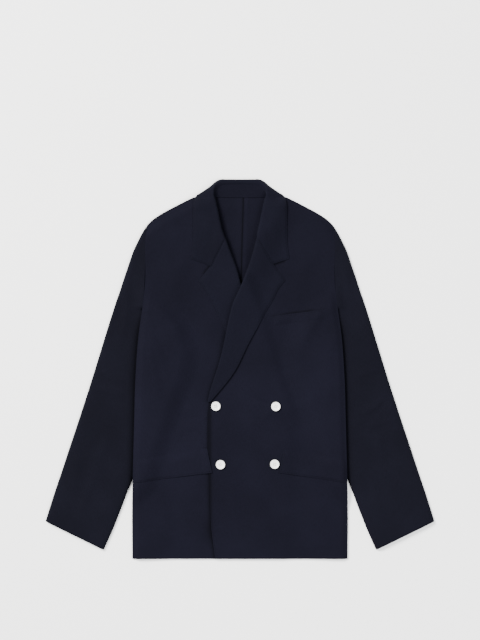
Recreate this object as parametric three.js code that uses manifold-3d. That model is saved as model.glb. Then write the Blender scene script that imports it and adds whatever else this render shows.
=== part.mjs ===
// A double breasted blazer laid flat on its back, in millimetres. +X is to the viewer's right, +Y to
// the collar and +Z up. Every piece of cloth is a sheet of one thickness about its middle surface.
import * as THREE from "three";
import Module from "manifold-3d";

// Cloth and seams
const CLOTH = 1.6;
const FOLDED_CLOTH = 1.8; // a lapel or collar, which is two layers pressed together
const SEAM_GAP = 0.3;
const FOLD_GAP = 1.2; // between a front's edge and the turned edge of its lapel
const LAID_GAP = 0.45; // between a piece and the one that it lies on
const LAPEL_GAP = 0.9;
const PATCH_GAP = 0.85; // between a flap or welt and its panel

// The garment's main lengths
const HEM_Y = -396.9;
const NECK_SEAM_Y = 357;
const ARMPIT = { x: 204.8, y: 120.8 };
const SHOULDER_TIP = { x: 195.3, y: 299.3 };
const GORGE_Y = 270;
const BREAK_Y = -70.4;

// How high the layers stand
const SLEEVE_CREST = 8; // the middle of the cloth over an open sleeve
const SLEEVE_CREST_AT_ARMPIT = 4.2;
const ARMPIT_REACH = 90;
const OVER_SLEEVE_CLEARANCE = 1.7;
const SLEEVE_RAMP = 45;
const FALL_LIFT = 2.6; // the back lies on the collar's fall
const FALL_RAMP = 30;
const LAYER_RAMP = 30;
const LAYER_MARGIN = 5;
const BODY_AIR = 0.9;
const SIDE_PUFF = 3.5;
const ARMHOLE_PUFF = 4.6;
const ROLL_REACH = 65;
const LAPEL_REACH = 55;

// Buttons
const BUTTON_RADIUS = 10;
const BUTTON_SEGMENTS = 20;
const BUTTON_HOLE_RADIUS = 1.05;
const BUTTON_HOLE_PLACE = 1.75;

const clamp = (v, low, high) => Math.min(high, Math.max(low, v));
const lerp = (a, b, t) => a + (b - a) * t;
const smooth = (t) => {
  const u = clamp(t, 0, 1);
  return u * u * (3 - 2 * u);
};
// 1 inside a piece, falling to 0 over a width outside it; distance is positive inside
const ramp = (distance, width) => smooth(1 + distance / width);

// The value of a table of [place, value] rows, on a smooth curve through them
function along(table, place) {
  const last = table.length - 1;
  const p = clamp(place, table[0][0], table[last][0]);
  let i = 0;
  while (i < last - 1 && p > table[i + 1][0]) i += 1;
  const slope = (k) => {
    const a = table[Math.max(0, k - 1)];
    const b = table[Math.min(last, k + 1)];
    return (b[1] - a[1]) / (b[0] - a[0]);
  };
  const width = table[i + 1][0] - table[i][0];
  const t = (p - table[i][0]) / width;
  const a = table[i][1];
  const b = table[i + 1][1];
  const h = t * t * (3 - 2 * t);
  const rise = t * (1 - t) * (1 - t) * slope(i) - t * t * (1 - t) * slope(i + 1);
  return a + (b - a) * h + width * rise;
}

// Half widths of the body: [y, x]
const SIDE = [
  [HEM_Y, 224.9],
  [-300, 225.5],
  [-228, 223.7],
  [-108, 220.5],
  [-24, 218.2],
  [64, 212.3],
  [ARMPIT.y, ARMPIT.x],
];
const ARMHOLE = [
  [ARMPIT.y, ARMPIT.x],
  [175, 198.5],
  [217, 197.4],
  [259, 198.5],
  [SHOULDER_TIP.y, SHOULDER_TIP.x],
];
const SHOULDER = [
  [SHOULDER_TIP.y, SHOULDER_TIP.x],
  [311.9, 182.5],
  [324.5, 163.8],
  [337.1, 140.7],
  [349.7, 115.9],
  [360.2, 93.5],
];
const SHOULDER_HEIGHT = SHOULDER.map(([y, x]) => [x, y]).reverse();

function halfWidth(y) {
  if (y <= ARMPIT.y) return along(SIDE, y);
  if (y <= SHOULDER_TIP.y) return along(ARMHOLE, y);
  return along(SHOULDER, y);
}

// The back's middle seam, which lies a little askew: [y, x]
const BACK_SEAM = [
  [HEM_Y, 3.6],
  [190, 3.6],
  [345, 7.5],
  [NECK_SEAM_Y, 7.5],
];

// The front that lies on top, on the viewer's right: [y, x] of its roll line, then of its edge
const OVER_ROLL = [
  [BREAK_Y, -67.2],
  [-49, -62.8],
  [10, -43.9],
  [52, -33.2],
  [106, -22.1],
  [138, -13.7],
  [175, 3.2],
  [232, 24.2],
  [GORGE_Y, 34.7],
];
const OVER_EDGE = [
  [HEM_Y, -52.1],
  [-324, -60.9],
  [-236, -64.1],
  [-169, -68.3],
  [BREAK_Y, -67.2],
];
// The front beneath it, on the viewer's left
const UNDER_ROLL = [
  [BREAK_Y, 86],
  [-49, 78],
  [10, 55],
  [52, 42],
  [106, 27],
  [138, 17],
  [178, 1.9],
  [214, -9],
  [252, -23.7],
  [GORGE_Y, -30],
];
const UNDER_EDGE = [
  [HEM_Y, 76],
  [-324, 85],
  [-236, 88],
  [-169, 92],
  [BREAK_Y, 88],
];
// Where a front ends under the collar: [y, half width]
const NECKLINE = [
  [GORGE_Y, 38],
  [300, 56],
  [325, 70],
  [345, 82],
  [NECK_SEAM_Y, 90],
];
// The collar's roll line above the gorge: [y, half width]
const COLLAR_ROLL = [
  [GORGE_Y, 33],
  [290, 37.5],
  [310, 42.3],
  [330, 46.3],
  [356, 52],
];
// Free edge of each lapel from its tip to its break: [x, y]
const OVER_LAPEL_EDGE = [
  [95.6, 184.8],
  [86.1, 174.3],
  [78.2, 162.8],
  [71.5, 148.1],
  [53.6, 117.6],
  [34.7, 83],
  [17.9, 52.5],
  [-11.6, -6.3],
  [-49.4, -54.6],
  [-62.4, -69],
];
const UNDER_LAPEL_EDGE = [
  [-87, 184],
  [-76.5, 171],
  [-66.6, 153.5],
  [-51, 123.5],
  [-28.4, 74.6],
  [-12, 46],
  [16, -6.3],
  [52, -52],
  [80.5, -69],
];

// Radius of the fold at the roll line, and how far the front rises to it: [y, mm]
const ROLL_RADIUS = [
  [BREAK_Y, 1.5],
  [50, 1.9],
  [178, 2.6],
  [GORGE_Y, 3],
];
const ROLL_RISE = [
  [BREAK_Y, 0],
  [60, 0.6],
  [120, 1.6],
  [178, 3.2],
  [230, 7],
  [GORGE_Y, 9],
  [300, 8.5],
  [335, 4.5],
  [NECK_SEAM_Y, 0.6],
];
const UNDER_ROLL_RISE = [
  [BREAK_Y, 0],
  [120, 0],
  [178, 2],
  [230, 7],
  [GORGE_Y, 9],
  [300, 8.5],
  [335, 4.5],
  [NECK_SEAM_Y, 0.6],
];

const rollRadius = (y) => along(ROLL_RADIUS, y);

function innerEdge(y, roll, edge, side) {
  if (y > GORGE_Y) return side * along(NECKLINE, y);
  if (y < BREAK_Y - 1) return along(edge, y);
  return along(roll, y) + side * (rollRadius(y) + FOLD_GAP);
}
const overInner = (y) => innerEdge(y, OVER_ROLL, OVER_EDGE, 1);
const underInner = (y) => innerEdge(y, UNDER_ROLL, UNDER_EDGE, -1);

// Distance to a closed outline of [x, y] points, positive inside it
function insideBy(outline, x, y) {
  let nearest = Infinity;
  let inside = false;
  outline.forEach(([ax, ay], i) => {
    const [bx, by] = outline[(i + 1) % outline.length];
    const t = clamp(((x - ax) * (bx - ax) + (y - ay) * (by - ay)) / ((bx - ax) ** 2 + (by - ay) ** 2), 0, 1);
    nearest = Math.min(nearest, Math.hypot(x - lerp(ax, bx, t), y - lerp(ay, by, t)));
    if (ay > y !== by > y && x < ax + ((bx - ax) * (y - ay)) / (by - ay)) inside = !inside;
  });
  return inside ? nearest : -nearest;
}

// What the back panels lie on: the sleeves behind them, and the collar's fall
const SLEEVE_BEHIND = [
  [250, 132],
  [206, 132],
  [178, 112],
  [144, 82],
  [126, 35],
  [132, -5],
  [158, -72],
  [186, -155],
  [212, -236],
  [250, -262],
];
const FALL_BEHIND = [
  [-94, 420],
  [-94, 356],
  [-78, 345],
  [-50, 341],
  [50, 341],
  [78, 345],
  [94, 356],
  [94, 420],
];

const fromArmpit = (x, y) => Math.hypot(Math.abs(x) - ARMPIT.x, y - ARMPIT.y);

function sleeveCrest(x, y) {
  return lerp(SLEEVE_CREST_AT_ARMPIT, SLEEVE_CREST, smooth(fromArmpit(x, y) / ARMPIT_REACH));
}

function backMiddle(x, y) {
  const sleeve = (sleeveCrest(x, y) + OVER_SLEEVE_CLEARANCE) * ramp(insideBy(SLEEVE_BEHIND, Math.abs(x), y), SLEEVE_RAMP);
  const fall = FALL_LIFT * ramp(insideBy(FALL_BEHIND, x, y), FALL_RAMP);
  return CLOTH / 2 + sleeve + fall;
}

// The air between back and front, which closes at the side seams and the shoulders
function bodyAir(x, y) {
  const inward = halfWidth(y) - Math.abs(x);
  const open = smooth((y - 132) / 40);
  const side = SIDE_PUFF * smooth(inward / 14) * (1 - smooth((inward - 14) / 90));
  const armhole = ARMHOLE_PUFF * (1 - smooth(inward / 110));
  const below = along(SHOULDER_HEIGHT, Math.abs(x)) - y;
  const shoulder = lerp(1, smooth(below / 28), smooth((Math.abs(x) - 55) / 25));
  const seam = lerp(smooth(inward / 14), 1, open);
  return SEAM_GAP + (BODY_AIR - SEAM_GAP) * seam * shoulder + lerp(side, armhole, open) * shoulder;
}

function underMiddle(x, y) {
  const fromRoll = underInner(y) - x;
  const rise = along(UNDER_ROLL_RISE, y) * (1 - smooth(fromRoll / ROLL_REACH));
  return backMiddle(x, y) + CLOTH + bodyAir(x, y) + rise;
}

// Half of the fold's height at a roll line, and how far a lapel stands off the front there
const foldHeight = (y) => 2 * rollRadius(y);

function lapelMiddle(x, y, panel, inner, side) {
  const fromRoll = side * (x - inner(y));
  const flat = CLOTH / 2 + LAPEL_GAP + FOLDED_CLOTH / 2;
  return panel(x, y) + flat + Math.max(0, foldHeight(y) - flat) * (1 - smooth(fromRoll / LAPEL_REACH));
}

const underLapelOuter = UNDER_LAPEL_EDGE.map(([x, y]) => [y, x]).reverse();

function overMiddle(x, y) {
  const fromRoll = x - overInner(y);
  const rise = along(ROLL_RISE, y) * (1 - smooth(fromRoll / ROLL_REACH));
  const under = ramp(underInner(y) - x + LAYER_MARGIN, LAYER_RAMP);
  const underRise = along(UNDER_ROLL_RISE, y) * (1 - smooth((underInner(y) - x) / ROLL_REACH));
  const lapelInside = Math.min(x - along(underLapelOuter, y), underInner(y) + foldHeight(y) - x, y - BREAK_Y);
  const lapelStand = Math.max(foldHeight(y) - CLOTH, LAPEL_GAP) + FOLDED_CLOTH;
  const lapel = lapelStand * ramp(lapelInside + 2 * LAYER_MARGIN, LAYER_RAMP);
  const layers = (CLOTH + LAID_GAP + underRise) * under + (y < 215 ? lapel * smooth((215 - y) / 20) : 0);
  return backMiddle(x, y) + CLOTH + bodyAir(x, y) + rise + layers;
}

// Materials
const cloth = (name, colour) =>
  new THREE.MeshStandardMaterial({ name, color: colour, roughness: 0.92, metalness: 0, side: THREE.DoubleSide });
const BODY_CLOTH = cloth("body cloth", 0x1f1f2b);
const SLEEVE_CLOTH = cloth("sleeve cloth", 0x1e1f28);
const LAPEL_FACING = cloth("lapel facing", 0x1e1e26);
const BUTTON_WHITE = new THREE.MeshStandardMaterial({ name: "button white", color: 0xe9e6df, roughness: 0.35, metalness: 0 });

function signedVolume(points, triangles) {
  let volume = 0;
  for (let i = 0; i < triangles.length; i += 3) {
    const [a, b, c] = [points[triangles[i]], points[triangles[i + 1]], points[triangles[i + 2]]];
    volume += a.dot(b.clone().cross(c)) / 6;
  }
  return volume;
}

function meshOf(name, points, triangles, material) {
  if (signedVolume(points, triangles) < 0) {
    for (let i = 0; i < triangles.length; i += 3) {
      const kept = triangles[i + 1];
      triangles[i + 1] = triangles[i + 2];
      triangles[i + 2] = kept;
    }
  }
  const geometry = new THREE.BufferGeometry();
  geometry.setAttribute("position", new THREE.Float32BufferAttribute(points.flatMap((p) => [p.x, p.y, p.z]), 3));
  geometry.setIndex(triangles);
  geometry.computeVertexNormals();
  const mesh = new THREE.Mesh(geometry, material);
  mesh.name = name;
  return mesh;
}

// A closed sheet about a grid of points on its middle surface
function sheet(name, grid, thickness, material) {
  const rows = grid.length;
  const columns = grid[0].length;
  const at = (i, j) => grid[clamp(i, 0, rows - 1)][clamp(j, 0, columns - 1)];
  const upper = [];
  const lower = [];
  for (let i = 0; i < rows; i += 1) {
    for (let j = 0; j < columns; j += 1) {
      const across = at(i, j + 1).clone().sub(at(i, j - 1));
      const down = at(i + 1, j).clone().sub(at(i - 1, j));
      const normal = across.cross(down).normalize().multiplyScalar(thickness / 2);
      const above = at(i, j).clone().add(normal);
      const below = at(i, j).clone().sub(normal);
      above.z = Math.max(0, above.z);
      below.z = Math.max(0, below.z);
      upper.push(above);
      lower.push(below);
    }
  }
  const count = rows * columns;
  const triangles = [];
  const quad = (a, b, c, d) => triangles.push(a, b, c, a, c, d);
  for (let i = 0; i + 1 < rows; i += 1) {
    for (let j = 0; j + 1 < columns; j += 1) {
      const a = i * columns + j;
      quad(a, a + 1, a + columns + 1, a + columns);
      quad(count + a, count + a + columns, count + a + columns + 1, count + a + 1);
    }
  }
  const rim = [];
  for (let j = 0; j + 1 < columns; j += 1) rim.push(j);
  for (let i = 0; i + 1 < rows; i += 1) rim.push(i * columns + columns - 1);
  for (let j = columns - 1; j > 0; j -= 1) rim.push((rows - 1) * columns + j);
  for (let i = rows - 1; i > 0; i -= 1) rim.push(i * columns);
  rim.forEach((a, k) => {
    const b = rim[(k + 1) % rim.length];
    quad(b, a, count + a, count + b);
  });
  return meshOf(name, [...upper, ...lower], triangles, material);
}

// Body panels: rows across the garment, shared by back and fronts
const ROWS = [
  HEM_Y, -364, -331, -298, -268, -238, -208, -178, -148, -118, -92, BREAK_Y, -44, -16, 12, 40, 66, 90, 108, 124,
  140, 158, 178, 198, 216, 234, 252, GORGE_Y, 284, 298, 314, 330, 345, NECK_SEAM_Y,
];
const FROM_SIDE = [0, 5, 14, 28, 48, 70, 92, 114, 138];
const FROM_MIDDLE = [0, 5, 13, 25, 40, 58];
const LEAST_WIDTH = 175;

// Columns from the side to the middle of the garment. Those near the side are at the same places in
// every panel, so that panels that lie on each other bend alike.
function columnsOf(from, to, nearTo, between) {
  const width = Math.abs(to - from);
  const sign = Math.sign(to - from);
  const scale = Math.min(1, width / LEAST_WIDTH);
  const start = FROM_SIDE.map((d) => from + sign * d * scale);
  const a = start[start.length - 1];
  const rest = Math.abs(to - a);
  const scaleTo = Math.min(1, rest / (nearTo[nearTo.length - 1] + 12 * (between + 1)));
  const end = nearTo.map((d) => to - sign * d * scaleTo).reverse();
  const middle = Array.from({ length: between }, (_, k) => lerp(a, end[0], (k + 1) / (between + 1)));
  return [...start, ...middle, ...end];
}

function panelGrid(edges, nearTo, between, height) {
  return ROWS.map((y) => {
    const [from, to] = edges(y);
    return columnsOf(from, to, nearTo, between).map((x) => new THREE.Vector3(x, y, height(x, y)));
  });
}

const pieces = [];

for (const [name, side] of [["back_right", -1], ["back_left", 1]]) {
  const edges = (y) => [side * halfWidth(y), along(BACK_SEAM, y) + (side * SEAM_GAP) / 2];
  pieces.push(sheet(name, panelGrid(edges, [0, 30], 0, backMiddle), CLOTH, BODY_CLOTH));
}
pieces.push(
  sheet(
    "front_right",
    panelGrid((y) => [-halfWidth(y), underInner(y)], FROM_MIDDLE, 2, underMiddle),
    CLOTH,
    BODY_CLOTH,
  ),
  sheet(
    "front_left",
    panelGrid((y) => [halfWidth(y), overInner(y)], FROM_MIDDLE, 2, overMiddle),
    CLOTH,
    BODY_CLOTH,
  ),
);

// Sleeves: [x, y] down the outer fold, and down the inner fold from the armpit, for the viewer's right
const CAP_FOLD = [
  [197.6, 296.8],
  [203.9, 286.7],
  [210.4, 274.1],
  [216.5, 261.5],
  [222.2, 248.9],
  [226.8, 236.3],
  [235.2, 211.1],
  [243.8, 185.9],
  [252, 161],
];
const OUTER_FOLD = [
  [252, 161],
  [258.1, 143.9],
  [274.3, 93.5],
  [289.8, 43.1],
  [305.3, -7.4],
  [321.3, -57.8],
  [337.7, -108.2],
  [354.5, -158.6],
  [371.1, -209],
  [388.1, -259.4],
  [406.6, -318.2],
];
const CAP_PIVOT = [
  [204.9, 123.6],
  [204.6, 121.6],
  [203, 119.8],
];
const INNER_FOLD = [
  [203, 119.8],
  [178, 98],
  [151, 67],
  [140, 30],
  [146, -2],
  [160, -40],
  [171, -68],
  [198.5, -150],
  [223.7, -228],
  [236.3, -259.4],
  [245.5, -284.6],
  [255.4, -309.8],
  [265.4, -335],
  [284.6, -378],
];
// Across a sleeve from a fold: [mm from the fold, share of the crest's height]
const SLEEVE_SECTION = [
  [0.8, 0],
  [0.9, 0.32],
  [2.6, 0.64],
  [6.5, 0.85],
  [15, 0.96],
  [32, 1],
];
const SLEEVE_ROWS = 21;
const UNDERSLEEVE_INSET = 6.4;
const UNDERSLEEVE_INNER_INSET = 9;
const CAP_ROWS = 7; // round the sleeve's head, fanned about the armpit

// A point at a share of the length of a polyline of [x, y] points
function onLine(line, share) {
  const lengths = line.slice(1).map(([x, y], i) => Math.hypot(x - line[i][0], y - line[i][1]));
  let left = share * lengths.reduce((sum, l) => sum + l, 0);
  for (let i = 0; i < lengths.length; i += 1) {
    if (left <= lengths[i] || i === lengths.length - 1) {
      const t = Math.min(1, left / lengths[i]);
      return [lerp(line[i][0], line[i + 1][0], t), lerp(line[i][1], line[i + 1][1], t)];
    }
    left -= lengths[i];
  }
  return line[line.length - 1];
}

function sleeveRow(i) {
  const cap = i < CAP_ROWS;
  const share = cap ? i / CAP_ROWS : (i - CAP_ROWS) / (SLEEVE_ROWS - CAP_ROWS);
  const outer = onLine(cap ? CAP_FOLD : OUTER_FOLD, share);
  const inner = onLine(cap ? CAP_PIVOT : INNER_FOLD, share);
  const hug = cap ? (1 - share) ** 3 : 0; // the head's edge follows the armhole
  return { outer, inner, hug, width: Math.hypot(outer[0] - inner[0], outer[1] - inner[1]) };
}

function acrossSleeve({ outer, inner, hug, width }, distance) {
  const t = distance / width;
  const x = lerp(outer[0], inner[0], t);
  const y = lerp(outer[1], inner[1], t);
  const clear = distance < 3 ? CLOTH / 2 : 0; // the fold's own thickness at the shoulder
  return [lerp(x, Math.max(x - 3, halfWidth(y)) + 2 * SEAM_GAP + clear, hug), y];
}

for (const [hand, side] of [["right", -1], ["left", 1]]) {
  const top = [];
  const bottom = [];
  for (let i = 0; i <= SLEEVE_ROWS; i += 1) {
    const row = sleeveRow(i);
    const narrow = Math.min(1, row.width / 110);
    const section = SLEEVE_SECTION.map(([d, h]) => [d < 3 ? d : d * narrow, h]);
    const offsets = [
      ...section,
      ...[0.36, 0.5, 0.64].map((t) => [row.width * t, 1]),
      ...section.map(([d, h]) => [row.width - d, h]).reverse(),
    ];
    top.push(
      offsets.map(([d, h]) => {
        const [x, y] = acrossSleeve(row, d);
        return new THREE.Vector3(side * x, y, h * sleeveCrest(x, y));
      }),
    );
    const near = Math.min(40, row.width * 0.3);
    const flat = [UNDERSLEEVE_INSET, near, row.width * 0.5, row.width - near, row.width - UNDERSLEEVE_INNER_INSET];
    bottom.push(
      flat.map((d) => {
        const [x, y] = acrossSleeve(row, d);
        return new THREE.Vector3(side * x, y, CLOTH / 2);
      }),
    );
  }
  pieces.push(sheet(`topsleeve_${hand}`, top, CLOTH, SLEEVE_CLOTH));
  pieces.push(sheet(`undersleeve_${hand}`, bottom, CLOTH, SLEEVE_CLOTH));
}

// Lapels: turned back at the roll line with a rolled fold
const LAPEL_ROWS = 16;
const FOLD_STEPS = 5;
const LAPEL_SHARES = [0.14, 0.34, 0.58, 0.8, 1];

function lapelGrid(roll, edge, panel, inner, side, bow) {
  const rollLine = [...roll].reverse().map(([y, x]) => [x, y]);
  const grid = [];
  for (let i = 0; i <= LAPEL_ROWS; i += 1) {
    const share = i / LAPEL_ROWS;
    const [rx, ry] = onLine(rollLine, share * 0.995);
    const [ex, ey] = onLine(edge, share);
    const [bx, by] = onLine(rollLine, Math.max(0, share - 0.01));
    const [cx, cy] = onLine(rollLine, Math.min(1, share + 0.01));
    const length = Math.hypot(cx - bx, cy - by);
    const out = [(side * (by - cy)) / length, (side * (cx - bx)) / length];
    const radius = rollRadius(ry);
    const core = [rx + out[0] * radius, ry + out[1] * radius];
    const high = lapelMiddle(core[0], core[1], panel, inner, side);
    const low = high - 2 * radius;
    const row = [];
    for (let k = FOLD_STEPS; k > 0; k -= 1) {
      const angle = (Math.PI * k) / FOLD_STEPS;
      const reach = radius * Math.sin(angle);
      row.push(
        new THREE.Vector3(
          core[0] - out[0] * reach,
          core[1] - out[1] * reach,
          (high + low) / 2 + radius * Math.cos(angle),
        ),
      );
    }
    row.push(new THREE.Vector3(core[0], core[1], high));
    LAPEL_SHARES.forEach((s) => {
      const x = lerp(core[0], ex, s);
      const y = lerp(core[1], ey, s) - bow * 4 * s * (1 - s) * Math.max(0, 1 - share / 0.14);
      row.push(new THREE.Vector3(x, y, lapelMiddle(x, y, panel, inner, side)));
    });
    grid.push(row);
  }
  return grid;
}

pieces.push(
  sheet(
    "lapel_right",
    lapelGrid(UNDER_ROLL, UNDER_LAPEL_EDGE, underMiddle, underInner, -1, 9),
    FOLDED_CLOTH,
    LAPEL_FACING,
  ),
  sheet(
    "lapel_left",
    lapelGrid(OVER_ROLL, OVER_LAPEL_EDGE, overMiddle, overInner, 1, 3),
    FOLDED_CLOTH,
    LAPEL_FACING,
  ),
);

// Collar. In front it lies on the fronts: the roll, a corner at the notch and the free edge
const COLLAR_SIDES = {
  right: { side: -1, panel: underMiddle, inner: underInner, gorge: [-30, 270.6], notch: [-62.6, 215.4], tip: [-102.5, 230] },
  left: { side: 1, panel: overMiddle, inner: overInner, gorge: [34.7, 270.6], notch: [70.4, 219.8], tip: [103.3, 230] },
};
// Free edge of the collar on the fronts: [y at the roll line, half width, y]
const COLLAR_FRONT = [
  [290, 99.4, 266],
  [308, 98.9, 291],
  [328, 98.3, 318],
  [344, 97.4, 341],
  [353, 95.6, 353.4],
];
// Behind the neck: seam, roll, outermost fold and free edge, as [half width, y, z]
const COLLAR_BACK = [
  { seam: [55, 360, 11], roll: [55.5, 366, 15.6], out: [90.4, 362.2, 5.6], edge: [91.6, 361.4, 3.8] },
  { seam: [55, 364, 10.2], roll: [55.3, 371, 14.8], out: [87, 364.6, 5.2], edge: [87.6, 358.8, 1.4] },
  { seam: [54, 367, 9.6], roll: [55, 375, 14.2], out: [82.5, 367.2, 5.2], edge: [80, 350.5, 0.9] },
  { seam: [49, 376, 7.4], roll: [50.5, 385, 11], out: [64, 379.8, 4.4], edge: [62, 346.5, 0.9] },
  { seam: [38, 384, 5.6], roll: [40, 391.6, 8], out: [44, 394.8, 3.6], edge: [41, 345.6, 0.9] },
  { seam: [20, 386, 4.8], roll: [20, 392, 6.6], out: [20, 395.6, 3.2], edge: [20, 345, 0.9] },
];
const COLLAR_STRETCH = 3; // shares between the roll and the corner, and as many on to the edge

const vector = ([x, y, z]) => new THREE.Vector3(x, y, z);

function frontStation(hand, k) {
  const { side, panel, inner, gorge, notch, tip } = COLLAR_SIDES[hand];
  const first = k < 0;
  const y = first ? gorge[1] : COLLAR_FRONT[k][0];
  const roll = first ? gorge : [side * along(COLLAR_ROLL, y), y];
  const edge = first ? tip : [side * COLLAR_FRONT[k][1], COLLAR_FRONT[k][2]];
  const straight = [lerp(roll[0], edge[0], 0.52), lerp(roll[1], edge[1], 0.52)];
  const bend = first ? 1 : [0.42, 0.12, 0, 0, 0][k];
  const corner = [
    straight[0] + bend * (notch[0] - lerp(gorge[0], tip[0], 0.52)),
    straight[1] + bend * (notch[1] - lerp(gorge[1], tip[1], 0.52)),
  ];
  const radius = rollRadius(GORGE_Y);
  const core = [roll[0] + side * radius, roll[1]];
  const high = lapelMiddle(core[0], core[1], panel, inner, side);
  const row = [
    [core[0], core[1], high - 2 * radius],
    [core[0] - side * radius * 0.95, core[1], high - radius * 1.3],
    [core[0] - side * radius * 0.7, core[1], high - radius * 0.3],
    [core[0], core[1], high],
  ];
  for (const [a, b] of [[core, corner], [corner, edge]]) {
    for (let j = 1; j <= COLLAR_STRETCH; j += 1) {
      const x = lerp(a[0], b[0], j / COLLAR_STRETCH);
      const yy = lerp(a[1], b[1], j / COLLAR_STRETCH);
      row.push([x, yy, lapelMiddle(x, yy, panel, inner, side)]);
    }
  }
  return row.map(vector);
}

function backStation({ seam, roll, out, edge }, side) {
  const at = (p, q, t, lift) => [lerp(p[0], q[0], t), lerp(p[1], q[1], t), lerp(p[2], q[2], t) + lift];
  const under = Math.max(0.9, edge[2]);
  const row = [
    seam,
    at(seam, roll, 0.4, 0.3),
    at(seam, roll, 0.75, 0.2),
    roll,
    at(roll, out, 0.5, 0.7),
    at(roll, out, 0.85, 0.5),
    out,
    [lerp(out[0], edge[0], 0.1), lerp(out[1], edge[1], 0.05), lerp(out[2], under, 0.75)],
    [lerp(out[0], edge[0], 0.4), lerp(out[1], edge[1], 0.4), under],
    edge,
  ];
  return row.map(([x, y, z]) => new THREE.Vector3(side * x, y, z));
}

const collarStations = [
  ...[-1, 0, 1, 2, 3, 4].map((k) => frontStation("right", k)),
  ...COLLAR_BACK.map((s) => backStation(s, -1)),
  ...[...COLLAR_BACK].reverse().map((s) => backStation(s, 1)),
  ...[4, 3, 2, 1, 0, -1].map((k) => frontStation("left", k)),
];

// Rows between stations, on smooth curves through them
function fillIn(stations, steps) {
  const curves = stations[0].map(
    (_, j) => new THREE.CatmullRomCurve3(stations.map((s) => s[j]), false, "centripetal"),
  );
  const grid = [];
  const last = stations.length - 1;
  for (let i = 0; i <= last * steps; i += 1) {
    grid.push(curves.map((c) => c.getPoint(i / (last * steps))));
  }
  return grid;
}

pieces.push(sheet("collar_fall", fillIn(collarStations, 2), FOLDED_CLOTH, LAPEL_FACING));

// The stand, from the neck seam up to the fall's seam: [half width, y] of its lower edge at each station
const STAND_FOOT = [
  [44.2, 283],
  [54.4, 300],
  [68, 324],
  [78.4, 342],
  [84, 352],
  [84, 359.3],
  [76, 359],
  [66, 358.5],
  [50, 358.4],
  [34, 358.4],
  [17, 358.4],
];
const STAND_RISE = [0, 0.5, 1];

function standStation(index, side) {
  const station = collarStations[side < 0 ? index + 1 : collarStations.length - 2 - index];
  const [w, y] = STAND_FOOT[index];
  const x = side * w;
  const onFront = index < 5;
  const panel = side < 0 ? underMiddle : overMiddle;
  const foot = new THREE.Vector3(x, y, onFront ? panel(x, y) : backMiddle(x, y));
  const head = station[0].clone();
  const reach = head.distanceTo(foot);
  const stop = head.clone().lerp(foot, (SEAM_GAP + 1.1) / reach);
  return STAND_RISE.map((t) => foot.clone().lerp(stop, t));
}

const standStations = [
  ...STAND_FOOT.map((_, i) => standStation(i, -1)),
  ...STAND_FOOT.map((_, i) => standStation(STAND_FOOT.length - 1 - i, 1)),
];
pieces.push(sheet("collar_stand", fillIn(standStations, 2), CLOTH, BODY_CLOTH));

// Pocket flaps: corners as [x, y], front upper, front lower, rear lower, rear upper
const FLAPS = [
  {
    name: "flap_right",
    corners: [[-68.9, -165], [-57.8, -218.4], [-221.8, -238.4], [-221.8, -184]],
    middle: (x, y) => underMiddle(x, y) + (CLOTH + LAID_GAP + 0.2) * ramp(x - overInner(y), 16),
  },
  {
    name: "flap_left",
    corners: [[92.4, -165], [80.9, -218.4], [221.8, -238.4], [221.8, -184]],
    middle: overMiddle,
  },
];
const FLAP_DOWN = [0, 0.35, 0.7, 1];

// A patch laid on a panel, its columns at the panel's own, from its corners front upper, front lower,
// rear lower and rear upper
function laidPatch(corners, downShares, middle, lift) {
  const [a, b, c, d] = corners;
  const side = Math.sign(d[0]);
  const near = Math.max(side * a[0], side * b[0]);
  const width = halfWidth(d[1]);
  const places = FROM_SIDE.map((o) => width - o).filter((x) => x < side * c[0] - 3 && x > near + 4);
  const front = places[places.length - 1] - near;
  const extra = front > 60 ? [2 / 3, 1 / 3].map((t) => near + front * t) : [];
  const columns = [...places, ...extra];
  return downShares.map((v) => {
    const ends = [lerp(a[0], b[0], v), lerp(d[0], c[0], v)];
    return [ends[1], ...columns.map((x) => side * x), ends[0]].map((x) => {
      const upper = lerp(a[1], d[1], (x - a[0]) / (d[0] - a[0]));
      const lower = lerp(b[1], c[1], (x - b[0]) / (c[0] - b[0]));
      return new THREE.Vector3(x, lerp(upper, lower, v), middle(x, lerp(upper, lower, v)) + lift);
    });
  });
}

for (const { name, corners, middle } of FLAPS) {
  pieces.push(sheet(name, laidPatch(corners, FLAP_DOWN, middle, CLOTH + PATCH_GAP), CLOTH, BODY_CLOTH));
}

// Breast welt: front upper, front lower, rear lower, rear upper
const WELT = [[66.2, 110.3], [68.3, 87.2], [179.6, 101.9], [177.5, 125]];
pieces.push(
  sheet("breast_welt", laidPatch(WELT, [0, 0.5, 1], overMiddle, CLOTH + PATCH_GAP + 0.5), CLOTH, BODY_CLOTH),
);

// Buttons with a raised rim, a dished middle and four holes: [x, y]
const BUTTONS = [
  [-50.4, -77.5],
  [74.8, -77.9],
  [-40.7, -199.5],
  [72.5, -198.5],
];
// Half section of a button: [radius, z]
const BUTTON_SECTION = [
  [0, 0],
  [7.2, 0],
  [9.2, 0.6],
  [BUTTON_RADIUS, 1.6],
  [9.7, 2.7],
  [9, 3.2],
  [8.1, 3.1],
  [7, 2.3],
  [0, 2.1],
];
const wasm = await Module();
wasm.setup();

function buttonSolid() {
  let solid = wasm.Manifold.revolve([BUTTON_SECTION], BUTTON_SEGMENTS);
  for (const [sx, sy] of [[-1, -1], [1, -1], [1, 1], [-1, 1]]) {
    const hole = wasm.Manifold.cylinder(8, BUTTON_HOLE_RADIUS, BUTTON_HOLE_RADIUS, 6, true);
    solid = solid.subtract(hole.translate([sx * BUTTON_HOLE_PLACE, sy * BUTTON_HOLE_PLACE, 0]));
  }
  return solid;
}

const UP = new THREE.Vector3(0, 0, 1);
const button = buttonSolid().getMesh();

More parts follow.
